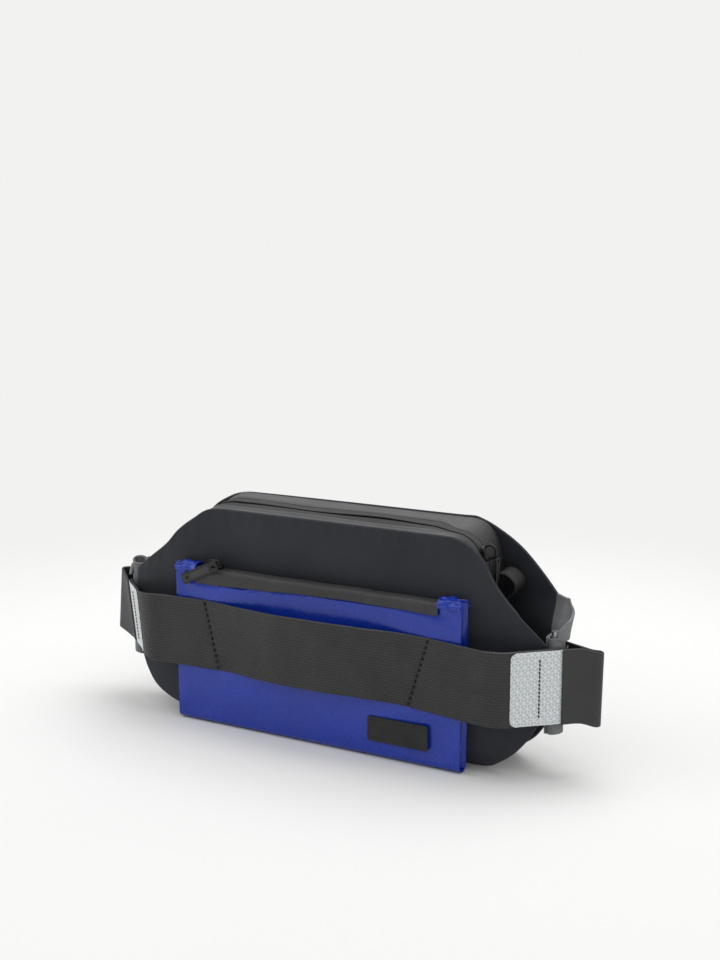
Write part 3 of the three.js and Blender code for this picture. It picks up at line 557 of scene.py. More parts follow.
class Look:
    """One material: its tree, its shader, and the two coordinates that its patterns read."""

    def __init__(
        self, name, slot, roughness=0.6, metallic=0.0, specular=0.5, sheen=0.0, coat=0.0, coat_roughness=0.1,
        sheen_tint=(1, 1, 1, 1)
    ):
        self.material = bpy.data.materials.new(name)
        self.material.use_nodes = True
        self.tree = self.material.node_tree
        self.shader = self.tree.nodes["Principled BSDF"]
        for key, value in (
            ("Roughness", roughness),
            ("Metallic", metallic),
            ("Specular IOR Level", specular),
            ("Sheen Weight", sheen),
            ("Sheen Roughness", 0.5),
            ("Sheen Tint", sheen_tint),
            ("Coat Weight", coat),
            ("Coat Roughness", coat_roughness),
        ):
            self.shader.inputs[key].default_value = value
        place = self.tree.nodes.new("ShaderNodeTexCoord")
        self.solid = place.outputs["Object"]
        self.cloth = self.tree.nodes.new("ShaderNodeUVMap").outputs[0]
        LOOKS[name] = (self.material, slot)

    def colour(self, value):
        socket(self.tree, self.shader.inputs["Base Color"], value)

    def rough(self, value):
        socket(self.tree, self.shader.inputs["Roughness"], value)

    def bumps(self, *layers):
        """Bumps one over another: (height, distance in metres, strength)."""
        normal = None
        for height, distance, strength in layers:
            inputs = [("Height", height), ("Distance", distance), ("Strength", strength)]
            if normal is not None:
                inputs.append(("Normal", normal))
            normal = shader_node(self.tree, "ShaderNodeBump", inputs).outputs[0]
        self.tree.links.new(normal, self.shader.inputs["Normal"])


def cloth_look(
    name, slot, dark, light, roughness, threads, depth, specular=0.35, sheen=0.0, slant=0.5, ends=None
):
    """A woven cloth: two tones by slow patches, darker gaps between threads, weave and grain in the bump.
    ends is a painted shade: the darker tone that it takes past the corners of the top, standing in for the
    shade on the bag's ends."""
    k = Look(name, slot, specular=specular, sheen=sheen)
    t = k.tree
    weave = placed(t, "weave", Place=k.cloth, Warp=threads, Weft=threads, Slant=slant)
    grain = placed(t, "grain", Place=k.solid, Fine=1400.0, Slow=26.0)
    tone = mixed(t, grain.outputs[1], dark, light)
    # painted shade: past |x| of 94 to 110 mm the cloth is mixed to the darker ends tone, standing in for the
    # shade on the end gussets
    if ends:
        across = shader_node(t, "ShaderNodeSeparateXYZ", [(0, k.solid)]).outputs[0]
        tone = mixed(t, ramp(t, calc(t, "ABSOLUTE", across), 0.094, 0.11), tone, ends)
    k.colour(
        mixed(t, calc(t, "MULTIPLY", weave.outputs[1], 0.35), tone, tuple(0.45 * c for c in dark[:3]) + (1,))
    )
    k.rough(calc(t, "ADD", calc(t, "MULTIPLY", grain.outputs[0], 0.16), roughness - 0.08))
    k.bumps((weave.outputs[0], depth, 0.6), (grain.outputs[0], depth, 0.5))
    return k


def make_looks():
    """Every finish of the bag."""
    cloth_look(
        "shell_cloth", "shell_fabric", (0.0160, 0.0182, 0.0245, 1), (0.0215, 0.0240, 0.0310, 1), 0.66, 1900.0,
        0.00012, sheen=0.06
    )
    # the ends tone below is painted shade on the end gussets and on the top strips round the corners
    cloth_look(
        "gusset_cloth", "gusset_fabric", (0.074, 0.075, 0.077, 1), (0.092, 0.093, 0.095, 1), 0.55, 2100.0,
        0.0001, specular=0.45, ends=(0.022, 0.0225, 0.024, 1)
    )
    cloth_look(
        "zip_tape_cloth", "zip_tape", (0.045, 0.046, 0.048, 1), (0.056, 0.057, 0.059, 1), 0.7, 1300.0, 0.0002,
        slant=0.33
    )
    cloth_look(
        "loop_ribbon", "loop_webbing", (0.011, 0.0113, 0.0122, 1), (0.016, 0.0163, 0.0173, 1), 0.6, 900.0,
        0.0003
    )
    cloth_look(
        "belt_cloth", "smooth_webbing", (0.0245, 0.025, 0.027, 1), (0.030, 0.0305, 0.033, 1), 0.5, 1600.0,
        0.00016, specular=0.45
    )

    # painted light: the shell fabric (same slot) made several times lighter, standing in for the lit,
    # upward-facing turned end flaps and rolls
    k = Look("turned_cloth_painted_light", "shell_fabric", specular=0.4, sheen=0.1)
    t = k.tree
    grain = placed(t, "grain", Place=k.solid, Fine=1600.0, Slow=60.0)
    k.colour(mixed(t, grain.outputs[1], (0.13, 0.133, 0.137, 1), (0.18, 0.183, 0.187, 1)))
    k.rough(calc(t, "ADD", calc(t, "MULTIPLY", grain.outputs[0], 0.2), 0.5))
    k.bumps((grain.outputs[0], 0.0001, 0.5))

    k = Look("spacer_mesh", "spacer_foam", specular=0.25, sheen=0.1)
    t = k.tree
    p = vector(t, "SCALE", k.solid)
    p.node.inputs["Scale"].default_value = 330.0
    flat = vector(t, "MULTIPLY", p, (1.0, 0.0, 1.0))
    cells = shader_node(
        t, "ShaderNodeTexVoronoi", [("Vector", flat), ("Scale", 1.0), ("Randomness", 0.12)], feature="F1"
    )
    hole = ramp(t, cells.outputs[0], 0.22, 0.42, 1.0, 0.0)
    grain = placed(t, "grain", Place=k.solid, Fine=1500.0, Slow=30.0)
    k.colour(
        mixed(
            t, hole, mixed(t, grain.outputs[1], (0.024, 0.025, 0.027, 1), (0.032, 0.033, 0.035, 1)),
            (0.006, 0.006, 0.0065, 1)
        )
    )
    k.rough(calc(t, "ADD", calc(t, "MULTIPLY", grain.outputs[0], 0.15), 0.78))
    k.bumps((calc(t, "SUBTRACT", 1.0, hole), 0.0006, 0.8), (grain.outputs[0], 0.0001, 0.5))

    k = Look("webbing_ribs", "ribbed_webbing", specular=0.5)
    t = k.tree
    ribs = placed(t, "ribs", Place=k.cloth, Cords=500.0, Floats=420.0)
    grain = placed(t, "grain", Place=k.solid, Fine=1800.0, Slow=40.0)
    thread_tone = mixed(t, grain.outputs[1], (0.0165, 0.0165, 0.0172, 1), (0.0235, 0.0235, 0.0245, 1))
    k.colour(mixed(t, calc(t, "MULTIPLY", ribs.outputs[1], 0.85), thread_tone, (0.003, 0.003, 0.003, 1)))
    k.rough(calc(t, "ADD", calc(t, "MULTIPLY", grain.outputs[0], 0.2), 0.36))
    k.bumps((ribs.outputs[0], 0.0005, 0.75), (grain.outputs[0], 0.0001, 0.4))

    k = Look("thread", "ribbed_webbing", specular=0.35)
    t = k.tree
    grain = placed(t, "grain", Place=k.solid, Fine=4000.0, Slow=300.0)
    k.colour(mixed(t, grain.outputs[1], (0.0035, 0.0035, 0.0035, 1), (0.008, 0.008, 0.008, 1)))
    k.rough(calc(t, "ADD", calc(t, "MULTIPLY", grain.outputs[0], 0.2), 0.5))
    k.bumps((grain.outputs[0], 0.0001, 0.5))

    k = Look("reflective_film", "reflector", specular=0.5, coat=0.25, coat_roughness=0.25)
    t = k.tree
    net = placed(t, "lattice", Place=k.cloth, Cells=215.0, Line=0.055)
    prisms = placed(t, "lattice", Place=k.cloth, Cells=1700.0, Line=0.12)
    grain = placed(t, "grain", Place=k.solid, Fine=1200.0, Slow=70.0)
    face = mixed(t, calc(t, "MULTIPLY", net.outputs[1], 0.8), (0.49, 0.53, 0.555, 1), (0.57, 0.61, 0.635, 1))
    face = mixed(t, calc(t, "MULTIPLY", prisms.outputs[0], 0.35), face, (0.42, 0.455, 0.475, 1))
    face = mixed(t, calc(t, "MULTIPLY", grain.outputs[1], 0.25), face, (0.5, 0.52, 0.53, 1))
    k.colour(mixed(t, net.outputs[0], face, (0.76, 0.79, 0.8, 1)))
    k.rough(calc(t, "ADD", calc(t, "MULTIPLY", net.outputs[0], 0.25), 0.34))
    k.bumps((net.outputs[0], 0.00008, 0.6), (prisms.outputs[0], 0.00004, 0.4))

    k = Look("tarpaulin_blue", "tarpaulin", specular=0.42, coat=0.16, coat_roughness=0.08)
    t = k.tree
    scrim = placed(t, "weave", Place=k.cloth, Warp=620.0, Weft=620.0, Slant=0.0)
    grain = placed(t, "grain", Place=k.solid, Fine=700.0, Slow=24.0)
    blue = mixed(t, grain.outputs[1], (0.0050, 0.0290, 0.325, 1), (0.0062, 0.0330, 0.360, 1))
    k.colour(mixed(t, calc(t, "MULTIPLY", scrim.outputs[1], 0.18), blue, (0.004, 0.021, 0.26, 1)))
    k.rough(calc(t, "ADD", calc(t, "MULTIPLY", grain.outputs[0], 0.16), 0.2))
    k.bumps(
        (scrim.outputs[0], 0.00008, 0.25), (grain.outputs[0], 0.00005, 0.2), (grain.outputs[1], 0.0016, 0.35)
    )

    k = Look("zip_rubber", "zip_rubber", specular=0.45)
    t = k.tree
    grain = placed(t, "grain", Place=k.solid, Fine=2600.0, Slow=45.0)
    k.colour(mixed(t, grain.outputs[1], (0.027, 0.027, 0.029, 1), (0.036, 0.036, 0.039, 1)))
    k.rough(calc(t, "ADD", calc(t, "MULTIPLY", grain.outputs[0], 0.25), 0.42))
    k.bumps((grain.outputs[0], 0.00012, 0.5))

    k = Look("label_rubber", "label_rubber", specular=0.4)
    t = k.tree
    grain = placed(t, "grain", Place=k.solid, Fine=3200.0, Slow=90.0)
    k.colour(mixed(t, grain.outputs[1], (0.0125, 0.0125, 0.0125, 1), (0.018, 0.018, 0.018, 1)))
    k.rough(calc(t, "ADD", calc(t, "MULTIPLY", grain.outputs[0], 0.25), 0.5))
    k.bumps((grain.outputs[0], 0.00018, 0.55))

    k = Look("coil_plastic", "zip_coil", specular=0.5)
    t = k.tree
    grain = placed(t, "grain", Place=k.solid, Fine=2200.0, Slow=120.0)
    k.colour(mixed(t, grain.outputs[1], (0.013, 0.0132, 0.014, 1), (0.021, 0.0212, 0.022, 1)))
    k.rough(calc(t, "ADD", calc(t, "MULTIPLY", grain.outputs[0], 0.2), 0.34))
    k.bumps((grain.outputs[0], 0.00006, 0.4))

    k = Look("black_metal", "black_metal", metallic=0.35, specular=0.55)
    t = k.tree
    grain = placed(t, "grain", Place=k.solid, Fine=2400.0, Slow=180.0)
    k.colour(mixed(t, grain.outputs[1], (0.009, 0.0093, 0.0098, 1), (0.018, 0.0184, 0.019, 1)))
    k.rough(calc(t, "ADD", calc(t, "MULTIPLY", grain.outputs[1], 0.18), 0.32))
    k.bumps((grain.outputs[0], 0.00005, 0.4))

    k = Look("buckle_nylon", "buckle_nylon", specular=0.5)
    t = k.tree
    grain = placed(t, "grain", Place=k.solid, Fine=1500.0, Slow=70.0)
    k.colour(mixed(t, grain.outputs[1], (0.0125, 0.013, 0.0145, 1), (0.0175, 0.018, 0.0195, 1)))
    k.rough(calc(t, "ADD", calc(t, "MULTIPLY", grain.outputs[0], 0.22), 0.4))
    k.bumps((grain.outputs[0], 0.0001, 0.45))

    k = Look("rod_steel", "rod_metal", metallic=1.0)
    t = k.tree
    drawn = vector(t, "MULTIPLY", k.solid, (1.0, 1.0, 0.05))
    grain = placed(t, "grain", Place=drawn, Fine=2600.0, Slow=300.0)
    k.colour(mixed(t, grain.outputs[1], (0.36, 0.37, 0.38, 1), (0.46, 0.47, 0.48, 1)))
    k.rough(calc(t, "ADD", calc(t, "MULTIPLY", grain.outputs[0], 0.2), 0.25))
    k.bumps((grain.outputs[0], 0.00004, 0.4))


make_looks()

# ---------- the panels' surfaces ----------


def front_top(x):
    """Height of the front panel's upper edge: round the right corner, in a slack slant down from the
    left one."""
    right = glide(
        x, [0, 80, 99, 105, 112, 117.5, 124, 131, 142, 160, 165],
        [157.9, 157.9, 157.8, 156.8, 154.2, 150.6, 143.6, 130.5, 116, 96.5, 91]
    )
    left = glide(
        -x, [0, 80, 91, 96.5, 105.6, 114, 122, 131.5, 151, 165],
        [157.9, 157.9, 156.7, 154.8, 149.0, 143.4, 137.0, 127.2, 113.0, 103]
    )
    return np.where(x > 0, right, left)


def back_top(x):
    """Height of the back panel's upper edge: a high shoulder on the right, a lower one on the left."""
    right = glide(
        x, [0, 84, 97, 104, 118, 131, 150, 161, 163], [163, 163.2, 163.4, 161.4, 154.4, 146.2, 129.6, 119, 117]
    )
    left = glide(
        -x, [0, 84, 92, 99, 108, 117, 127, 137, 150, 161, 163],
        [163, 162.4, 161.4, 159.6, 155.6, 150.4, 141, 132, 121, 107, 106]
    )
    return np.where(x > 0, right, left)


def low_edge(x):
    """Height of the lower edge of both panels."""
    return glide(
        np.abs(x), [0, 112, 120, 127, 136, 147, 156, 162, 168], [0.9, 0.9, 1.0, 2.6, 8.2, 17, 28, 38, 40]
    )


def front_wall(x, z):
    """Depth of the front panel: flat behind the pouch, back towards the ends by the square of the
    distance, tucked in at the bottom."""
    reach = np.maximum(np.abs(x) - 112, 0) / 53
    tuck = np.maximum(1 - z / 20, 0)
    return -33.7 + 9.8 * reach**2 + 12 * tuck**2


def back_wall(x, z):
    """Depth of the back panel: forward to the ends by the square of the distance, less so high up, and
    leaning forward above."""
    reach = np.maximum(np.abs(x) - 90, 0) / 78
    lean = np.maximum(z - 88, 0) / 75
    return 19 - 28 * reach**2 * (1 - 0.353 * step(z, 94, 119)) - 9 * lean**2 * (1 - reach)


def front_soft(x, z):
    """Slack of the front panel, outwards: slow waves, a hollow beside the pouch and small puckers under
    the seam."""
    edge = front_top(x) - z
    slack = 0.55 * ripple(x, z, 3, 5, 90) * step(edge, 2, 22)
    pucker = 0.22 * np.sin(x / 1.9) * bell(edge, 5, 4)
    return slack + pucker + 1.1 * bell(z, 134, 16) * step(100 - np.abs(x), 0, 60)


def make_panels():
    """The front and back panels, the lip behind the front one's edge, the end flaps and the base.

    A flap runs 7 mm on from the back panel, then curls round a circle of FLAP_R by an angle that
    depends on height:
    x = ROD_X + R sin(a), y = end - R + R cos(a).
    """
    x = np.linspace(-165, 165, 221)[:, None]
    share = np.linspace(0, 1, 84)[None]
    low, high = low_edge(x), front_top(x)
    z = low + (high - low) * share
    y = front_wall(x, z) - front_soft(x, z)
    xs = np.broadcast_to(x, z.shape)
    sheet(
        "front_panel_cloth", np.stack([xs, y, z], -1), 1.9, np.stack([xs, z], -1), "shell_cloth",
        stands_for=["front_panel"]
    )

    t = np.linspace(-147, 147, 300)
    edge_z = front_top(t)
    way = unit(np.stack([np.gradient(t), np.gradient(edge_z)], 1))
    inward = np.stack([way[:, 1], -way[:, 0]], 1)
    depth = np.array([0.2, 1.2, 2.6, 4.2])
    px = t[:, None] + inward[:, :1] * depth
    pz = edge_z[:, None] + inward[:, 1:] * depth
    py = front_wall(px, pz) + 2.0 + 0.5 * bell(depth, 4.2, 1.5)
    plane = np.stack(np.broadcast_arrays(t[:, None], depth[None]), -1)
    sheet("front_seam_lip", np.stack([px, py, pz], -1), 1.1, plane, "gusset_cloth")

    main = np.linspace(-WING_END, WING_END, 200)
    share = np.linspace(0, 1, 90)[None]
    w = np.linspace(0, 1, 18)[:, None]
    for name, side in (("right", 1), ("left", -1)):
        zed = low_edge(side * WING_END) + (back_top(side * WING_END) - low_edge(side * WING_END)) * share
        curl = np.radians(14 + 136 * step(zed, 93.6, 97) * (1 - step(zed, 102, back_top(side * WING_END))))
        run = FLAP_FLAT + FLAP_R * curl
        s = w * run
        flat = np.minimum(s / FLAP_FLAT, 1)
        angle = np.maximum(s - FLAP_FLAT, 0) / FLAP_R
        wall_x = WING_END + flat * FLAP_FLAT + 0 * zed
        wall_y = back_wall(wall_x, zed)
        px = np.where(s < FLAP_FLAT, wall_x, ROD_X - 1 + np.minimum(angle * 8, 1) + FLAP_R * np.sin(angle))
        py = np.where(s < FLAP_FLAT, wall_y, back_wall(WING_END + FLAP_FLAT, zed) - 8 + FLAP_R * np.cos(angle))
        flap = np.stack([side * px, py, zed + 0 * px - 1.6 * w * step(zed, 90, 118)], -1)
        # the end flaps take the lighter copy of the shell fabric: painted light on their turned faces
        sheet(f"end_flap_{name}", flap, 1.8, np.stack([side * (WING_END + s), zed + 0 * s], -1), "turned_cloth_painted_light")
    x = main[:, None]
    z = low_edge(x) + (back_top(x) - low_edge(x)) * share
    slack = 0.8 * ripple(x, z, 8, 5, 110) * step(back_top(x) - z, 2, 25)
    body = np.stack([np.broadcast_to(x, z.shape), back_wall(x, z) + slack * (np.abs(x) < 158), z], -1)
    sheet(
        "back_panel_cloth", body, 2.0, np.stack([body[..., 0], z], -1), "shell_cloth", stands_for=["back_panel"]
    )

    x = np.linspace(-117, 117, 80)[:, None]
    share = np.linspace(0, 1, 20)[None]
    front, back = front_wall(x, 0 * x) + 1.7, back_wall(x, 0 * x) - 2.2
    y = front + (back - front) * share
    z = 1.25 + 0.5 * np.sin(share * PI) ** 2 * (0.6 + 0.4 * ripple(x, y, 4, 4, 60))
    sheet(
        "base_cloth", np.stack([np.broadcast_to(x, y.shape), y, z], -1), 1.9,
        np.stack([np.broadcast_to(x, y.shape), y], -1), "gusset_cloth", stands_for=["base_panel"]
    )


ARC = CORNER_R * PI / 2
ZIP_END = TOP_HALF + ARC + (CORNER_Z - 114)


def hoop(distance, off=0.0):
    """Point (x, z) at a distance along the hoop from the top's middle, moved out by off: straight top,
    round corner, straight end."""
    side, run = np.sign(distance) + (distance == 0), np.abs(distance)
    angle = np.clip((run - TOP_HALF) / CORNER_R, 0, PI / 2)
    down = np.maximum(run - TOP_HALF - ARC, 0)
    x = np.minimum(run, TOP_HALF) + (CORNER_R + off) * np.sin(angle)
    z = CORNER_Z + (CORNER_R + off) * np.cos(angle) - down
    return side * x, z


def dome(distance, y):
    """Rise of the stuffed top over the hoop, with t from front seam to rear: -2.4 + 7.2 t + 3 sin(pi t)
    on the straight top.
    The rear edge stays up round the corners, slow ridges run across it, and the left corner is slack
    and sinks."""
    run = np.abs(distance)
    t = np.clip((y + 33) / 40, 0, 1)
    top = 1 - step(run, 80, 97)
    arch = (-2.4 * (1 - t) + 3.0 * np.sin(PI * t)) * top + 4.8 * t * (
        top + (1 - top) * t**3 * (1 - step(run, 100, 128))
    )
    ridges = 0.5 * ripple(distance * 0.35, y * 2.2, 12, 5, 44) + 0.5 * crumple(
        distance * 0.5 - y, y * 1.6, 14, 3, 40
    ) * step(distance, 30, 90) * t
    slack = -6.5 * np.sin(PI * np.clip((-distance - 91) / 46, 0, 1)) ** 0.8
    return arch + ridges * np.sin(PI * t) * top + slack


def band(y_low, y_high, distance, rows, rise):
    """Grid of a band along the hoop between two depths, which may be arrays along it; rise adds height
    over the dome."""
    d = distance[:, None]
    share = np.linspace(0, 1, rows)[None]
    low, high = np.reshape(y_low, (-1, 1)), np.reshape(y_high, (-1, 1))
    y = low + (high - low) * share + 0 * d
    x, z = hoop(d + 0 * y, dome(d, y) + rise(share))
    return np.stack([x, y, z], -1), np.stack(np.broadcast_arrays(d, y), -1)


def make_gussets():
    """Top gusset strips, zip tapes and coil on the hoop, and the two end gussets."""
    d = np.linspace(-ZIP_END, ZIP_END, 240)
    x, z = hoop(d)
    front, back = front_wall(x, z) + 1.9, back_wall(x, z) - 2.1
    roll = lambda t: -0.6 + 0.75 * np.sin(np.clip((t - 0.72) / 0.28, 0, 1) * PI)
    roll_rear = lambda t: -0.6 + 0.75 * np.sin(np.clip((0.22 - t) / 0.22, 0, 1) * PI)
    p, plane = band(front, -24.0, d, 14, roll)
    sheet("top_front_strip", p, 1.1, plane, "gusset_cloth", stands_for=["gusset_front_strip"])
    p, plane = band(-10.0, back, d, 18, roll_rear)
    sheet("top_rear_strip", p, 1.1, plane, "gusset_cloth", stands_for=["gusset_rear_strip"])
    p, plane = band(-24.4, -19.0, d, 6, lambda t: -0.75 + 0.25 * t)
    sheet("zip_tape_front", p, 0.7, plane, "zip_tape_cloth", stands_for=["main_zip_tape_front"])
    p, plane = band(-15.0, -9.6, d, 6, lambda t: -0.5 - 0.25 * t)
    sheet("zip_tape_rear", p, 0.7, plane, "zip_tape_cloth", stands_for=["main_zip_tape_rear"])

    d = np.linspace(-ZIP_END, ZIP_END, 1100)
    pitch = 1.6
    a = np.linspace(0, 2 * PI, 12, endpoint=False)
    tooth = 1 + 0.13 * np.sin(2 * PI * d / pitch)[:, None]
    shift = 0.22 * np.sin(2 * PI * d / pitch + 1.2)[:, None] * np.sin(a)[None]
    y = ZIP_Y + 1.65 * np.cos(a)[None] * tooth
    off = dome(d[:, None], ZIP_Y) + 0.85 * np.sin(a)[None] * tooth - 0.25 * bell(
        np.cos(a), 0, 0.25
    )[None] * (np.sin(a) > 0)
    x, z = hoop(d[:, None] + shift, off)
    p, f = closed_tube(np.stack([x, y + 0 * x, z], -1))
    piece("main_zip_teeth", p, f, "coil_plastic", stands_for=["main_zip_coil"], sharp=70)

    z = np.linspace(2.6, 113.6, 60)[None]
    share = np.linspace(0, 1, 26)[:, None]
    for name, side in (("right", 1), ("left", -1)):
        xs = 117.3 - 1.6 * np.sin(PI * share) ** 2 * np.sin(PI * z / 116)
        front, back = front_wall(xs, z) + 1.9, back_wall(xs, z) - 2.1
        y = front + (back - front) * share
        sheet(
            f"end_gusset_cloth_{name}", np.stack([side * xs, y, z + 0 * xs], -1), 1.1,
            np.stack([y, z + 0 * y], -1), "gusset_cloth", stands_for=[f"end_gusset_{name}"]
        )


def make_loops():
    """The folded ribbon at each end of the main zip: down, round and back to its root, 16 mm wide."""
    spine = line(
        [
            (118.6, 108.6), (122.5, 109.6), (127.5, 112.4), (132.4, 116.4), (136.2, 120.6), (136.9, 124.8),
            (133.4, 129.2), (128, 131.6), (123, 130), (119.8, 125.5), (118.8, 121)
        ],
        0.7
    )
    across = np.linspace(-11, 5, 12)
    for name, side in (("right", 1), ("left", -1)):
        n = len(spine)
        points = np.zeros((n, 12, 3))
        sag = 0.5 * np.sin((across + 11) / 16 * PI)[None]
        points[..., 0] = side * (spine[:, :1] + sag * step(np.arange(n) / n, 0.2, 0.5)[:, None])
        points[..., 1] = across
        points[..., 2] = spine[:, 1:] + 0.05 * (across + 11)[None]
        plane = np.stack(np.broadcast_arrays(arc_length(spine)[:, None], across[None]), -1)
        sheet(f"zip_end_loop_{name}", points, 1.3, plane, "loop_ribbon", stands_for=[f"zip_pull_loop_{name}"])


def make_sleeves():
    """Each end sleeve is a spiral roll: the radius grows evenly from 4.1 to 6.1 over one and a half
    turns; a turned edge closes its ends."""
    turn = np.linspace(0, 3.1 * PI, 90)
    radius = 4.1 + 2.0 * turn / turn[-1]
    z = np.linspace(0, 1, 26)
    for name, side in (("right", 1), ("left", -1)):
        start = 0.4
        x = ROD_X + radius * np.cos(turn + start)
        y = ROD_Y + radius * np.sin(turn + start)
        low = (31.0 if side > 0 else 35.0) + 0.8 * np.cos(turn + start)
        high = (97.0 if side > 0 else 107.0) + 1.8 * np.sin(turn + start + 0.8)
        points = np.zeros((90, 26, 3))
        points[..., 0] = side * x[:, None]
        points[..., 1] = y[:, None]
        points[..., 2] = low[:, None] + (high - low)[:, None] * z[None]
        plane = np.stack(np.broadcast_arrays((radius * turn)[:, None], points[..., 2]), -1)
        # the rolls take the lighter copy of the shell fabric: painted light on their lit faces
        sheet(f"end_roll_{name}", points, 1.15, plane, "turned_cloth_painted_light", stands_for=[f"end_sleeve_{name}"])
        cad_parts[f"end_rod_{name}"].data.materials.clear()
        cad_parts[f"end_rod_{name}"].data.materials.append(LOOKS["rod_steel"][0])


# ---------- webbing, patches and belt ----------

patch_start = np.array([147.0, -47.6])
to_rod = np.array([ROD_X, ROD_Y]) - patch_start
slant = math.atan2(to_rod[1], to_rod[0]) - math.asin(WRAP_R / np.linalg.norm(to_rod))
way = np.array([math.cos(slant), math.sin(slant)])
outward = np.array([math.sin(slant), -math.cos(slant)])
tangent = np.array([ROD_X, ROD_Y]) + outward * WRAP_R
belt_root = tangent + way * 1.5 + outward * 2.2


def webbing_path():
    """Plan of the webbing's middle: bow over the pouch, shoulder beside it, straight to the rod, 110
    degrees round the sleeve."""
    face = POUCH_FRONT - 0.3 - WEB_T / 2
    half = [
        (0, face - 9.5), (38, face - 6.8), (66, face - 1.9), (84, face), (100, face - 0.4), (122, -49.4),
        (137, -51.0)
    ]
    half += [tuple(patch_start + way * 0.5), tuple(patch_start + way * 9), tuple(tangent - way * 6)]
    a = slant - PI / 2 + np.radians(110) * np.linspace(0, 1, 10)
    half += list(zip(ROD_X + WRAP_R * np.cos(a), ROD_Y + WRAP_R * np.sin(a)))
    half = np.array(half)
    return line(np.concatenate([(half * [-1, 1])[:0:-1], half]), 1.2)


def settled(x, z):
    """How far the webbing, patch and belt have moved (x, z): down on the right, and at the left end in
    and up with depth."""
    left = 1 - step(x, -160, -122)
    deep = (WEB_HIGH - z) / 50
    return 6.0 * left * deep, 3.6 * left * deep - 1.6 * left - 3.2 * step(x, 10, 140)


def row_x(side, z):
    """Where a stitch row crosses the webbing at a height: it leans inwards going down."""
    share = (WEB_HIGH - z) / 50
    return np.where(side > 0, 91 - 15 * share, -89 + 12 * share)


def make_webbing():
    """The ribbed webbing and its two rows of stitches."""
    path = webbing_path()
    points, plane = standing(path, WEB_LOW, WEB_HIGH, 31)
    normal = sideways(path)
    z = points[..., 2]
    x = points[..., 0]
    near = np.minimum(np.abs(x - row_x(1, z)), np.abs(x - row_x(-1, z)))
    middle = 1 - step(np.abs(x), 60, 88)
    press = -0.75 * bell(near, 0, 2.4)
    lean = middle * (1.7 * (z - WEB_MID) / 25 + 0.5 * ripple(x, z, 5, 4, 60))
    bowl = -0.9 * middle * ((z - WEB_MID) / 25) ** 2
    points[..., :2] += normal[:, None] * (press + lean + bowl)[..., None]
    points[..., 2] += 0.5 * np.sin(x / 37 + 0.6) * (1 - step(np.abs(x), 120, 140))
    moved = settled(x, z)
    points[..., 0] += moved[0]
    points[..., 2] += moved[1]
    sheet("webbing_cloth", points, WEB_T, plane, "webbing_ribs", stands_for=["front_webbing"])
    for name, side in (("right", 1), ("left", -1)):
        rows = np.linspace(WEB_LOW + 2.2, WEB_HIGH - 2.2, 12)
        xs = row_x(side, rows)
        i = np.array([np.argmin(np.abs(path[:, 0] - v)) for v in xs])
        lift = WEB_T / 2 - 0.75 + 0.15
        centres = np.c_[xs, path[i, 1] - lift, rows + 0.5 * np.sin(xs / 37 + 0.6) + settled(xs, rows)[1]]
        along = unit(np.gradient(centres, axis=0))
        stitches(
            f"webbing_stitches_{name}", centres, along, np.tile([0.0, -1.0, 0.0], (len(rows), 1)), 2.8, 1.5
        )


def make_patches():
    """Reflective patches: 35 mm along the slanted webbing, inner corners rounded by moving the start
    in, outer edge turned over."""
    off = WEB_T / 2 + 0.35 + 0.3
    spine = [
        patch_start + way * 3 + outward * off, patch_start + way * 18 + outward * off, tangent + outward * off,
        tangent + outward * (off - 0.3) + way * 1.4
    ]
    spine = line(spine, 0.8)
    s = arc_length(spine)
    rows = np.linspace(-24.8, 24.8, 42)
    corner = 4.0
    over = np.maximum(np.abs(rows) - (24.8 - corner), 0)
    start = corner - np.sqrt(np.maximum(corner**2 - over**2, 0))
    share = np.linspace(0, 1, 46)
    at = start[None] + (s[-1] - start[None]) * share[:, None]
    for name, side in (("right", 1), ("left", -1)):
        x = np.interp(at, s, spine[:, 0])
        y = np.interp(at, s, spine[:, 1])
        groove = 0.22 * bell(at, s[-1] * 0.55, 0.9) * (np.abs(rows) < 21)[None]
        z = WEB_MID + rows[None] + 0 * at
        moved = settled(side * x, z)
        points = np.stack(
            [side * (x - outward[0] * groove) + moved[0], y - outward[1] * groove, z + moved[1]], -1
        )
        sheet(
            f"reflective_film_{name}", points, 0.6, np.stack([at, z], -1), "reflective_film",
            stands_for=[f"reflective_patch_{name}"]
        )
        rows2 = np.linspace(WEB_MID - 18.6, WEB_MID + 18.6, 15)
        sx, sy = np.interp(s[-1] * 0.55, s, spine[:, 0]), np.interp(s[-1] * 0.55, s, spine[:, 1])
        n = np.array([side * outward[0], outward[1], 0])
        moved = settled(side * sx, rows2)
        centres = np.stack([side * sx + moved[0], np.full(15, sy), rows2 + moved[1]], 1) + n * 0.22
        stitches(
            f"patch_stitches_{name}", centres, unit(np.gradient(centres, axis=0)), np.tile(n, (15, 1)), 2.2, 1.0
        )


def belt_path(tail):
    """Plan of a belt half: outward from the patch, a tight fold, then in behind the bag to its buckle half."""
    fold = 3.2
    outer = belt_root + way * 25
    centre = outer - outward * fold
    a = slant - PI / 2 + np.radians(165) * np.linspace(0, 1, 8)
    points = [tuple(belt_root), tuple(belt_root + way * 9), tuple(belt_root + way * 18)]
    points += list(zip(centre[0] + fold * np.cos(a), centre[1] + fold * np.sin(a)))
    points += [
        (180, 1.5), (167, 5), (154, 11), (139, 19), (123, 27), (105, 33), (85, BELT_Y), (60, BELT_Y),
        (tail, BELT_Y)
    ]
    return line(points, 1.3)


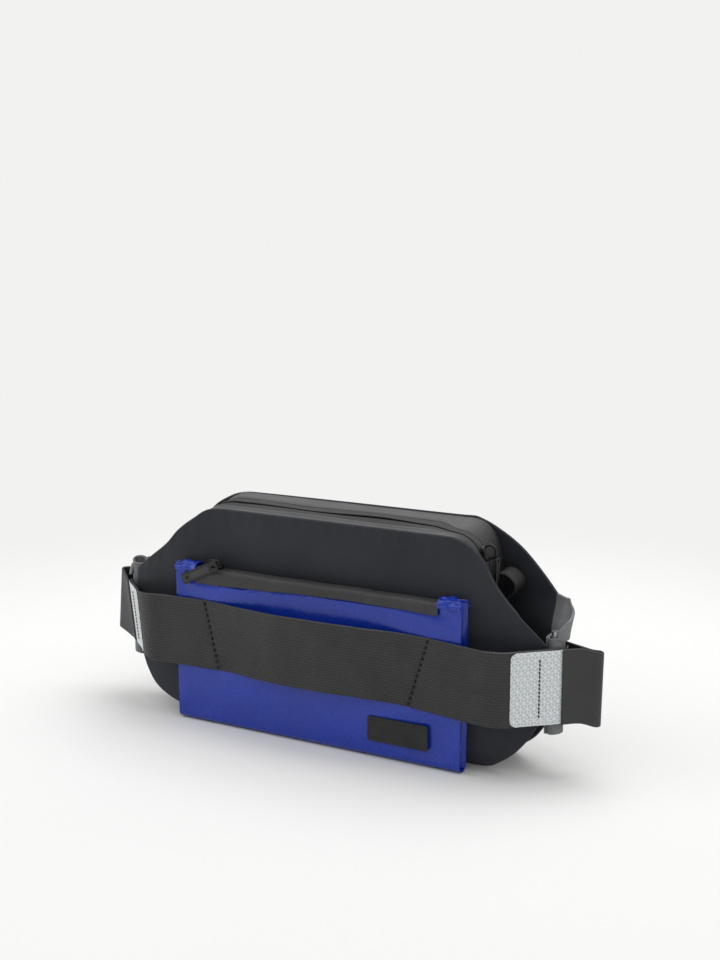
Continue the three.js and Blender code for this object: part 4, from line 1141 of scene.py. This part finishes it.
def make_belts():
    """Both belt halves. The left one's fold splays out towards the floor, as the bag leans on it."""
    for name, side, tail in (("right", 1, 8.0), ("left", -1, 45.4)):
        path = belt_path(tail)
        points, plane = standing(path, WEB_LOW, WEB_HIGH, 21)
        s = arc_length(path)
        free = (step(s, 3, 26) * (1 - step(s, 60, 110)))[:, None]
        height = (WEB_HIGH - points[..., 2]) / 50
        wave = 0.6 * np.sin(s / 17)[:, None] * free
        normal = sideways(path)
        points[..., :2] += normal[:, None] * (wave * (0.5 + height))[..., None]
        if side < 0:
            points[..., 0] += 9.0 * height * free
            points[..., 2] += 3.0 * free
        else:
            points[..., 2] -= 4.5 * free * step(s, 6, 30)[:, None]
            points[..., 0] -= 1.5 * height * free
        points[..., 0] *= side
        moved = settled(points[..., 0], WEB_HIGH - 50 * height)
        held = 1 - step(s, 30, 90)[:, None]
        points[..., 0] += moved[0] * held
        points[..., 2] += moved[1] * held
        sheet(
            f"belt_cloth_{name}", points, WEB_T, plane, "belt_cloth", body=f"belt_{name}",
            stands_for=[f"belt_{name}"]
        )


# ---------- pouch ----------


def pouch_soft(x, z):
    """Unevenness of the tarpaulin, outwards: slow waves, crumples at the upper corners, creases under
    the webbing."""
    ax = np.abs(x)
    waves = 0.42 * ripple(x, z, 21, 5, 75)
    corner = step(ax, 74, 104) * step(z, 84, 112)
    crumples = 0.55 * crumple(x, z, 22, 6, 21) * corner
    low = 0.5 * crumple(x, z * 0.6, 23, 4, 46) * (1 - step(z, 16, 40)) * step(ax, 50, 100)
    under = 0.35 * np.sin(x / 11 + 0.4 * np.sin(x / 29)) * bell(z, 38, 6)
    return (waves + crumples + low + under) * step(114 - ax, 0, 6)


def strip_low(x):
    """Height of the rubber strip's lower edge, rising to the right."""
    return 104.6 + 3.8 * step(x, -97, 10) - 0.8 * step(x, 40, 97)


def make_pouch():
    """Front wall, fold and rear wall in one sheet; crumpled ears over its upper corners; folded side
    gussets."""
    z_down = np.linspace(1, 0, 74)
    fold = np.linspace(0, PI, 15)[1:-1]
    x = np.linspace(-POUCH_HALF, POUCH_HALF, 150)[:, None]
    top = np.where(np.abs(x) < 97.0, 114.6, 117.6)
    low, r = 0.9 + 5.0, 5.0
    z_front = low + (top - low) * z_down[None]
    strip_zone = step(z_front - strip_low(x), -1, 0) * (1 - step(np.abs(x), 96.6, 98))
    y_front = POUCH_FRONT + 0.5 - pouch_soft(x, z_front) * step(
        z_front, 2, 12
    ) * (1 - strip_zone) + 1.5 * strip_zone
    mid = (POUCH_FRONT + POUCH_BACK) / 2
    reach = (POUCH_BACK - POUCH_FRONT) / 2 - 0.5
    y_fold = mid - reach * np.cos(fold)[None] + 0 * x
    z_fold = low - r * np.sin(fold)[None] ** 0.8 + 0 * x
    z_rear = low + (113.4 - low) * z_down[::-1][None] + 0 * x
    y_rear = np.full_like(z_rear, POUCH_BACK - 0.5)
    y = np.concatenate([y_front, y_fold, y_rear], 1)
    z = np.concatenate([z_front, z_fold, z_rear], 1)
    along = np.concatenate([z_front, -(PI * r / 2) * np.linspace(0, 1, 13)[None] + 0 * x, -z_rear - 10], 1)
    xs = np.broadcast_to(x, y.shape)
    sheet(
        "pouch_tarpaulin", np.stack([xs, y, z], -1), 0.9, np.stack([xs, along], -1), "tarpaulin_blue",
        stands_for=["pouch_shell"]
    )

    for name, side in (("right", 1), ("left", -1)):
        u = np.linspace(0, 1, 34)[:, None]
        a = np.linspace(0, 1, 44)[None]
        y = mid - (5.9 - 0.3 * u) * np.cos(PI * a)
        rise = np.sin(PI * a) ** 0.55
        crest = 4.6 + 1.6 * np.sin(PI * u * 0.9 + 0.6)
        z = 113.0 + crest * rise + 0 * u
        ex = 97.0 + 17.0 * u + 0 * a
        fold_noise = crumple(ex * 1.0, (y * 1.4 + z), 31 + side, 6, 13)
        z = z + 0.75 * fold_noise * rise * step(u, 0.0, 0.15) * step(1 - u, 0.0, 0.2)
        y = y + 0.45 * crumple(ex, z * 1.6, 37 + side, 5, 12) * np.cos(PI * a)
        ex = ex + 0.5 * ripple(y, z, 41 + side, 4, 14) * step(u, 0.2, 0.8)
        plane = np.stack(np.broadcast_arrays(ex, 113 + 18 * a), -1)
        sheet(f"pouch_ear_{name}", np.stack([side * ex, y, z], -1), 0.9, plane, "tarpaulin_blue")

        pleat = line(
            [
                (113.9, -45.0), (113.2, -43.8), (110.6, -42.2), (107.6, -40.5), (110.6, -38.8), (113.2, -37.2),
                (113.9, -36.0)
            ],
            0.35
        )
        points, plane = standing(pleat, 2.4, 118.2, 50)
        points[..., 0] += 0.5 * ripple(points[..., 2], points[..., 1] * 3, 51 + side, 4, 40)
        points[..., 0] *= side
        sheet(
            f"pouch_side_fold_{name}", points, 0.7, plane, "tarpaulin_blue", stands_for=[f"pouch_gusset_{name}"]
        )


def make_pouch_zip():
    """Rubber strip over the pouch's front and top, the covered coil's ridge, rear strip, and the end stop."""
    x = np.linspace(-ZIP_HALF, ZIP_HALF, 160)
    front = line(
        [
            (-46.15, 100.6), (-46.25, 104), (-46.2, 108), (-46.1, 111.6), (-45.5, 114.0), (-44.1, 115.35),
            (-42.9, 115.6), (-42.2, 115.5)
        ],
        0.6
    )
    wave = 0.22 * ripple(x, 0 * x, 61, 3, 70)
    points = np.zeros((len(x), len(front), 3))
    points[..., 0] = x[:, None]
    points[..., 1] = front[None, :, 0] + wave[:, None] * 0.6
    lifted = (strip_low(x) - 100.6)[:, None] * np.clip((115.0 - front[None, :, 1]) / 14.4, 0, 1)
    points[..., 2] = front[None, :, 1] + wave[:, None] + lifted
    plane = np.stack(np.broadcast_arrays(x[:, None], arc_length(front)[None]), -1)
    sheet("zip_strip_front_rubber", points, 1.0, plane, "zip_rubber", stands_for=["pouch_zip_strip_front"])
    rear = line([(-38.8, 115.5), (-38.0, 115.55), (-36.6, 115.2), (-35.6, 114.2), (-35.3, 112.6)], 0.5)
    points = np.zeros((len(x), len(rear), 3))
    points[..., 0] = x[:, None]
    points[..., 1] = rear[None, :, 0]
    points[..., 2] = rear[None, :, 1] + wave[:, None]
    plane = np.stack(np.broadcast_arrays(x[:, None], arc_length(rear)[None]), -1)
    sheet("zip_strip_rear_rubber", points, 0.9, plane, "zip_rubber", stands_for=["pouch_zip_strip_rear"])

    x = np.linspace(-ZIP_HALF, ZIP_HALF, 760)
    a = np.linspace(0, 2 * PI, 12, endpoint=False)
    tooth = 1 + 0.08 * np.sin(2 * PI * x / 1.4)[:, None]
    y = COIL_Y + 1.3 * np.cos(a)[None] * tooth
    z = 115.1 + 0.22 * ripple(x, 0 * x, 61, 3, 70)[:, None] + 1.0 * np.sin(a)[None] * tooth
    p, f = closed_tube(np.stack([x[:, None] + 0 * y, y, z], -1))
    piece("pouch_zip_teeth", p, f, "coil_plastic", stands_for=["pouch_zip_coil"], sharp=70)


def make_label():
    """Rubber label: a rounded plate, a raised frame and a bare field."""
    rings = [(0.5, 0), (0, 0.4), (0, 1.35), (0.35, 1.75), (1.1, 1.8), (1.5, 1.5), (2.2, 1.45), (4, 1.45)]
    layers = [
        np.c_[
            rounded(46 - 2 * inset, 17.6 - 2 * inset, max(1.6 - inset, 0.3), 7), np.full(28, height)
        ] for inset,
        height in rings
    ]
    g = np.stack(layers)
    p, f = closed_tube(np.stack([68.5 + g[..., 0], -46.3 - g[..., 2], 21.4 + g[..., 1]], -1))
    piece("label_plate", p, f, "label_rubber", stands_for=["pouch_label"], sharp=50)


# ---------- zip hardware ----------


def shield(length, width, waist):
    """Outline of a slider's plate: half width is width/2 times (1 - waist sin^2) along it, with round ends."""
    t = np.linspace(-1, 1, 15)
    half = width / 2 * (1 - waist * np.sin(PI * (t + 1) / 2 * 0.9) ** 2) * np.sqrt(np.maximum(1 - t**6, 0.02))
    upper = np.c_[t * length / 2, half]
    return np.concatenate([upper[::-1], (upper * [1, -1])])


def make_pouch_slider():
    """Slider body, its bail and the flat puller with a hole at its root and a stud near its free end."""
    base = 116.4
    place = lambda g: np.stack([-83 + g[..., 0], COIL_Y + g[..., 1], base + g[..., 2]], -1)
    p, f = plate(shield(12, 8, 0.22), [(0.5, 0), (0, 0.4), (0, 1.9), (0.5, 2.5), (1.5, 2.9), (3.0, 3.0)], place)
    piece(
        "pouch_slider_body", p, f, "black_metal", body="pouch_zip_slider", stands_for=["pouch_zip_slider"],
        sharp=50
    )
    bail = line(
        [
            (-88.2, COIL_Y, 119.2), (-87.6, COIL_Y, 120.8), (-84, -40.6, 121.6), (-79.5, -41.5, 121.7),
            (-77.2, -43.6, 121.3), (-76.1, -45.9, 120.9), (-76.2, -47.0, 120.8)
        ],
        0.7
    )
    rod(bail, 1.0, "black_metal", "pouch_slider_bail", body="pouch_zip_slider", stands_for=["pouch_zip_bail"])

    dip = math.radians(25.2)
    along = np.array([-math.cos(dip), 0, -math.sin(dip)])
    up = np.array([-math.sin(dip), 0, math.cos(dip)])
    root = np.array([-76.0, -48.4, 120.8])
    outer = rounded(34, 8, 2.4, 8) + [17, 0]
    angle = np.arctan2(*(outer - [5.2, 0]).T[::-1])
    hole = [3.4, 0] + np.stack([2.1 * np.cos(angle), 1.7 * np.sin(angle)], 1)
    seat = lambda g: root + along * g[..., :1] + up * g[..., 1:2] + np.array([0, 1.0, 0]) * (0.8 - g[..., 2:])
    p, f = washer(outer, hole, 1.6, 0.35, seat)
    piece(
        "pouch_puller_plate", p, f, "black_metal", body="pouch_zip_puller", stands_for=["pouch_zip_puller"],
        sharp=50
    )
    stud = rounded(2.4, 2.4, 1.19, 5) + [29.5, 0]
    p, f = plate(stud, [(0, 1.5), (0, 1.75), (0.35, 2.0)], seat)
    piece("pouch_puller_stud", p, f, "black_metal", body="pouch_zip_puller", sharp=50)
    inset = rounded(18, 4.6, 1.6, 6) + [16.5, 0]
    p, f = plate(inset, [(0, 1.5), (0, 1.72), (0.25, 1.82)], seat)
    piece("pouch_puller_grip", p, f, "zip_rubber", body="pouch_zip_puller", sharp=50)


def corner_place(radius, degrees, y):
    """Point on the main zip's right corner at a radius and an angle over the horizontal."""
    a = np.radians(degrees)
    return np.stack(np.broadcast_arrays(TOP_HALF + radius * np.cos(a), y, CORNER_Z + radius * np.sin(a)), -1)


def make_main_slider():
    """Slider bent round the corner, D bail over it and the thin hanging puller."""
    place = lambda g: corner_place(24.4 + g[..., 2], 25 + np.degrees(g[..., 0] / 26.0), ZIP_Y + g[..., 1])
    p, f = plate(shield(11, 8, 0.2), [(0.5, 0), (0, 0.4), (0, 1.8), (0.5, 2.4), (1.4, 2.8), (2.8, 2.9)], place)
    piece(
        "main_slider_body", p, f, "black_metal", body="main_zip_slider", stands_for=["main_zip_slider"],
        sharp=50
    )
    t = np.linspace(0, PI, 24)
    arch = corner_place(27.2 + 6.0 * np.sin(t) ** 0.7, 25 + 9.0 * np.cos(t), ZIP_Y)
    rod(
        arch, 0.95, "black_metal", "main_slider_bail", up=(0, 1, 0), body="main_zip_slider",
        stands_for=["main_zip_bail"]
    )

    outer = rounded(21, 6, 2.0, 8)[:, ::-1] * [1, -1] + [0, -10.5]
    angle = np.arctan2(*(outer - [0, -3.2]).T[::-1])
    hole = [0, -2.6] + np.stack([1.5 * np.cos(angle), 1.3 * np.sin(angle)], 1)
    seat = lambda g: np.stack([126.81 - 0.6 + g[..., 2], ZIP_Y + g[..., 0], 143.25 + 0.4 + g[..., 1]], -1)
    p, f = washer(outer, hole, 1.2, 0.3, seat)
    piece(
        "main_puller_plate", p, f, "black_metal", body="main_zip_puller", stands_for=["main_zip_puller"],
        sharp=50
    )


# ---------- back pad ----------


def make_back_pad():
    """Spacer pad: a rounded slab along the back panel, swollen by cloth pressure, then pressed into
    three channels."""
    grid_x = np.linspace(-1, 1, 70)[:, None]
    grid_z = np.linspace(-1, 1, 46)[None]
    px = 83 * grid_x * (1 - 0.018 * grid_z**4)
    pz = 75 + 51 * grid_z * (1 - 0.03 * grid_x**4)
    points = np.stack([px, back_wall(px, pz) + 3.7 + 0 * px, pz], -1)
    thick = 3.4 * np.clip((1 - np.abs(grid_x) ** 14) * (1 - np.abs(grid_z) ** 10), 0.12, 1)
    p, f, _ = shell(points, thick, np.stack([px, pz], -1), 0.5)
    pad = piece("back_pad_cloth", p, f, "spacer_mesh", stands_for=["back_pad"], sharp=80)
    swell(pad)
    mesh = pad.data
    co = np.zeros(len(mesh.vertices) * 3, np.float32)
    mesh.vertices.foreach_get("co", co)
    co = co.reshape(-1, 3).astype(float) / MM
    x, y, z = co.T
    face = back_wall(x, z) + 1.9
    grooves = bell(x, -42, 2.2) + bell(x, 0, 2.2) + bell(x, 42, 2.2)
    inside = step(83 - np.abs(x), 4, 10) * step(51 - np.abs(z - 75), 8, 14)
    y = np.minimum(y - 2.2 * grooves * inside * step(y - face, 1.0, 3.0), face + 6.4)
    y = np.maximum(y, face)
    mesh.vertices.foreach_set("co", (np.stack([x, y, z], 1) * MM).astype(np.float32).ravel())
    mesh.update()


def swell(pad):
    """Voxel remesh, then cloth pressure with no gravity over 12 frames; each point moves 1.6 mm at most."""
    scene = bpy.context.scene
    rest = pad.modifiers.new("even", "REMESH")
    rest.mode, rest.voxel_size = "VOXEL", 0.0022
    bpy.context.view_layer.objects.active = pad
    apply_modifier(pad, "even")
    before = np.zeros(len(pad.data.vertices) * 3, np.float32)
    pad.data.vertices.foreach_get("co", before)
    cloth = pad.modifiers.new("swell", "CLOTH")
    cloth.settings.use_pressure = True
    cloth.settings.uniform_pressure_force = 3.0
    cloth.settings.effector_weights.gravity = 0
    cloth.settings.quality = 5
    for number in range(1, 13):
        scene.frame_set(number)
    apply_modifier(pad, "swell")
    after = np.zeros_like(before)
    pad.data.vertices.foreach_get("co", after)
    move = (after - before).reshape(-1, 3)
    length = np.linalg.norm(move, axis=1, keepdims=True)
    move *= np.minimum(1, 0.0016 / np.maximum(length, 1e-9))
    pad.data.vertices.foreach_set("co", (before.reshape(-1, 3) + move).astype(np.float32).ravel())
    scene.frame_set(1)
    pad.data.polygons.foreach_set("use_smooth", np.ones(len(pad.data.polygons), bool))


def apply_modifier(obj, name):
    """Puts a modifier's result into the mesh."""
    with bpy.context.temp_override(object=obj, active_object=obj, selected_objects=[obj]):
        bpy.ops.object.modifier_apply(modifier=name)


# ---------- light, floor and camera ----------


def make_stage():
    """A pale floor that fades into the backdrop's tone, soft light from above and from the left, and
    the camera."""
    scene = bpy.context.scene
    scene.view_settings.view_transform = "Standard"
    world = bpy.data.worlds.new("studio")
    scene.world = world
    world.use_nodes = True
    t = world.node_tree
    t.nodes.clear()
    rays = t.nodes.new("ShaderNodeLightPath")
    seen = calc(t, "MAXIMUM", rays.outputs["Is Camera Ray"], rays.outputs["Is Transmission Ray"])
    sky = shader_node(t, "ShaderNodeSeparateXYZ", [(0, t.nodes.new("ShaderNodeTexCoord").outputs["Generated"])])
    up = ramp(t, sky.outputs[2], -0.1, 0.9, 0.38, 0.92)
    side = ramp(t, sky.outputs[0], -0.9, 0.9, 0.85, 1.12)
    light = shader_node(
        t, "ShaderNodeBackground",
        [("Color", (1.0, 1.0, 0.995, 1)), ("Strength", calc(t, "MULTIPLY", up, side))]
    )
    wall = shader_node(t, "ShaderNodeBackground", [("Color", (0.888, 0.888, 0.876, 1)), ("Strength", 1.0)])
    mix = shader_node(t, "ShaderNodeMixShader", [(0, seen), (1, light.outputs[0]), (2, wall.outputs[0])])
    out = t.nodes.new("ShaderNodeOutputWorld")
    t.links.new(mix.outputs[0], out.inputs[0])

    mesh = bpy.data.meshes.new("floor")
    mesh.from_pydata([(-9, -9, 0), (9, -9, 0), (9, 9, 0), (-9, 9, 0)], [], [(0, 1, 2, 3)])
    floor = bpy.data.objects.new("floor", mesh)
    scene.collection.objects.link(floor)
    paper = bpy.data.materials.new("floor_paper")
    paper.use_nodes = True
    t = paper.node_tree
    t.nodes.clear()
    grain = placed(t, "grain", Place=t.nodes.new("ShaderNodeTexCoord").outputs["Object"], Fine=300.0, Slow=3.0)
    tone = mixed(t, grain.outputs[1], (0.79, 0.79, 0.785, 1), (0.8, 0.8, 0.795, 1))
    diffuse = shader_node(t, "ShaderNodeBsdfDiffuse", [("Color", tone)])
    glow = shader_node(t, "ShaderNodeEmission", [("Color", (0.888, 0.888, 0.876, 1)), ("Strength", 1.0)])
    place = t.nodes.new("ShaderNodeTexCoord").outputs["Object"]
    far = ramp(t, vector(t, "LENGTH", place, out=1), 0.32, 0.75)
    rays = t.nodes.new("ShaderNodeLightPath")
    seen = calc(t, "MAXIMUM", rays.outputs["Is Camera Ray"], rays.outputs["Is Transmission Ray"])
    mix = shader_node(
        t, "ShaderNodeMixShader",
        [(0, calc(t, "MULTIPLY", far, seen)), (1, diffuse.outputs[0]), (2, glow.outputs[0])]
    )
    out = t.nodes.new("ShaderNodeOutputMaterial")
    t.links.new(mix.outputs[0], out.inputs[0])
    mesh.materials.append(paper)

    for name, place, size, watts, aim in (
        ("above", (0.1, 0.35, 1.5), 1.3, 12.0, (0, 0, 0.05)),
        ("left", (-1.25, -0.7, 1.0), 0.9, 3.6, (0, 0, 0.08)),
    ):
        lamp = bpy.data.lights.new(name, "AREA")
        lamp.size, lamp.energy = size, watts
        obj = bpy.data.objects.new(name, lamp)
        scene.collection.objects.link(obj)
        obj.location = place
        obj.rotation_euler = (Vector(aim) - Vector(place)).to_track_quat("-Z", "Y").to_euler()

    camera = bpy.data.cameras.new("camera")
    camera.lens, camera.sensor_width = 54.19, 36.0
    eye = bpy.data.objects.new("camera", camera)
    scene.collection.objects.link(eye)
    eye.location = (0.500, -0.868, 0.371)
    eye.rotation_euler = (math.radians(90 - 10.72), 0, math.radians(29.29))
    camera.clip_start, camera.clip_end = 0.05, 60
    scene.camera = eye


make_stage()
make_panels()
make_gussets()
make_loops()
make_sleeves()
make_webbing()
make_patches()
make_belts()
make_pouch()
make_pouch_zip()
make_label()
make_pouch_slider()
make_main_slider()
make_back_pad()
softened("buckle_prongs", "buckle_male", "buckle_nylon", "buckle_male", 0.7)
softened("buckle_socket", "buckle_female", "buckle_nylon", "belt_left", 0.7)
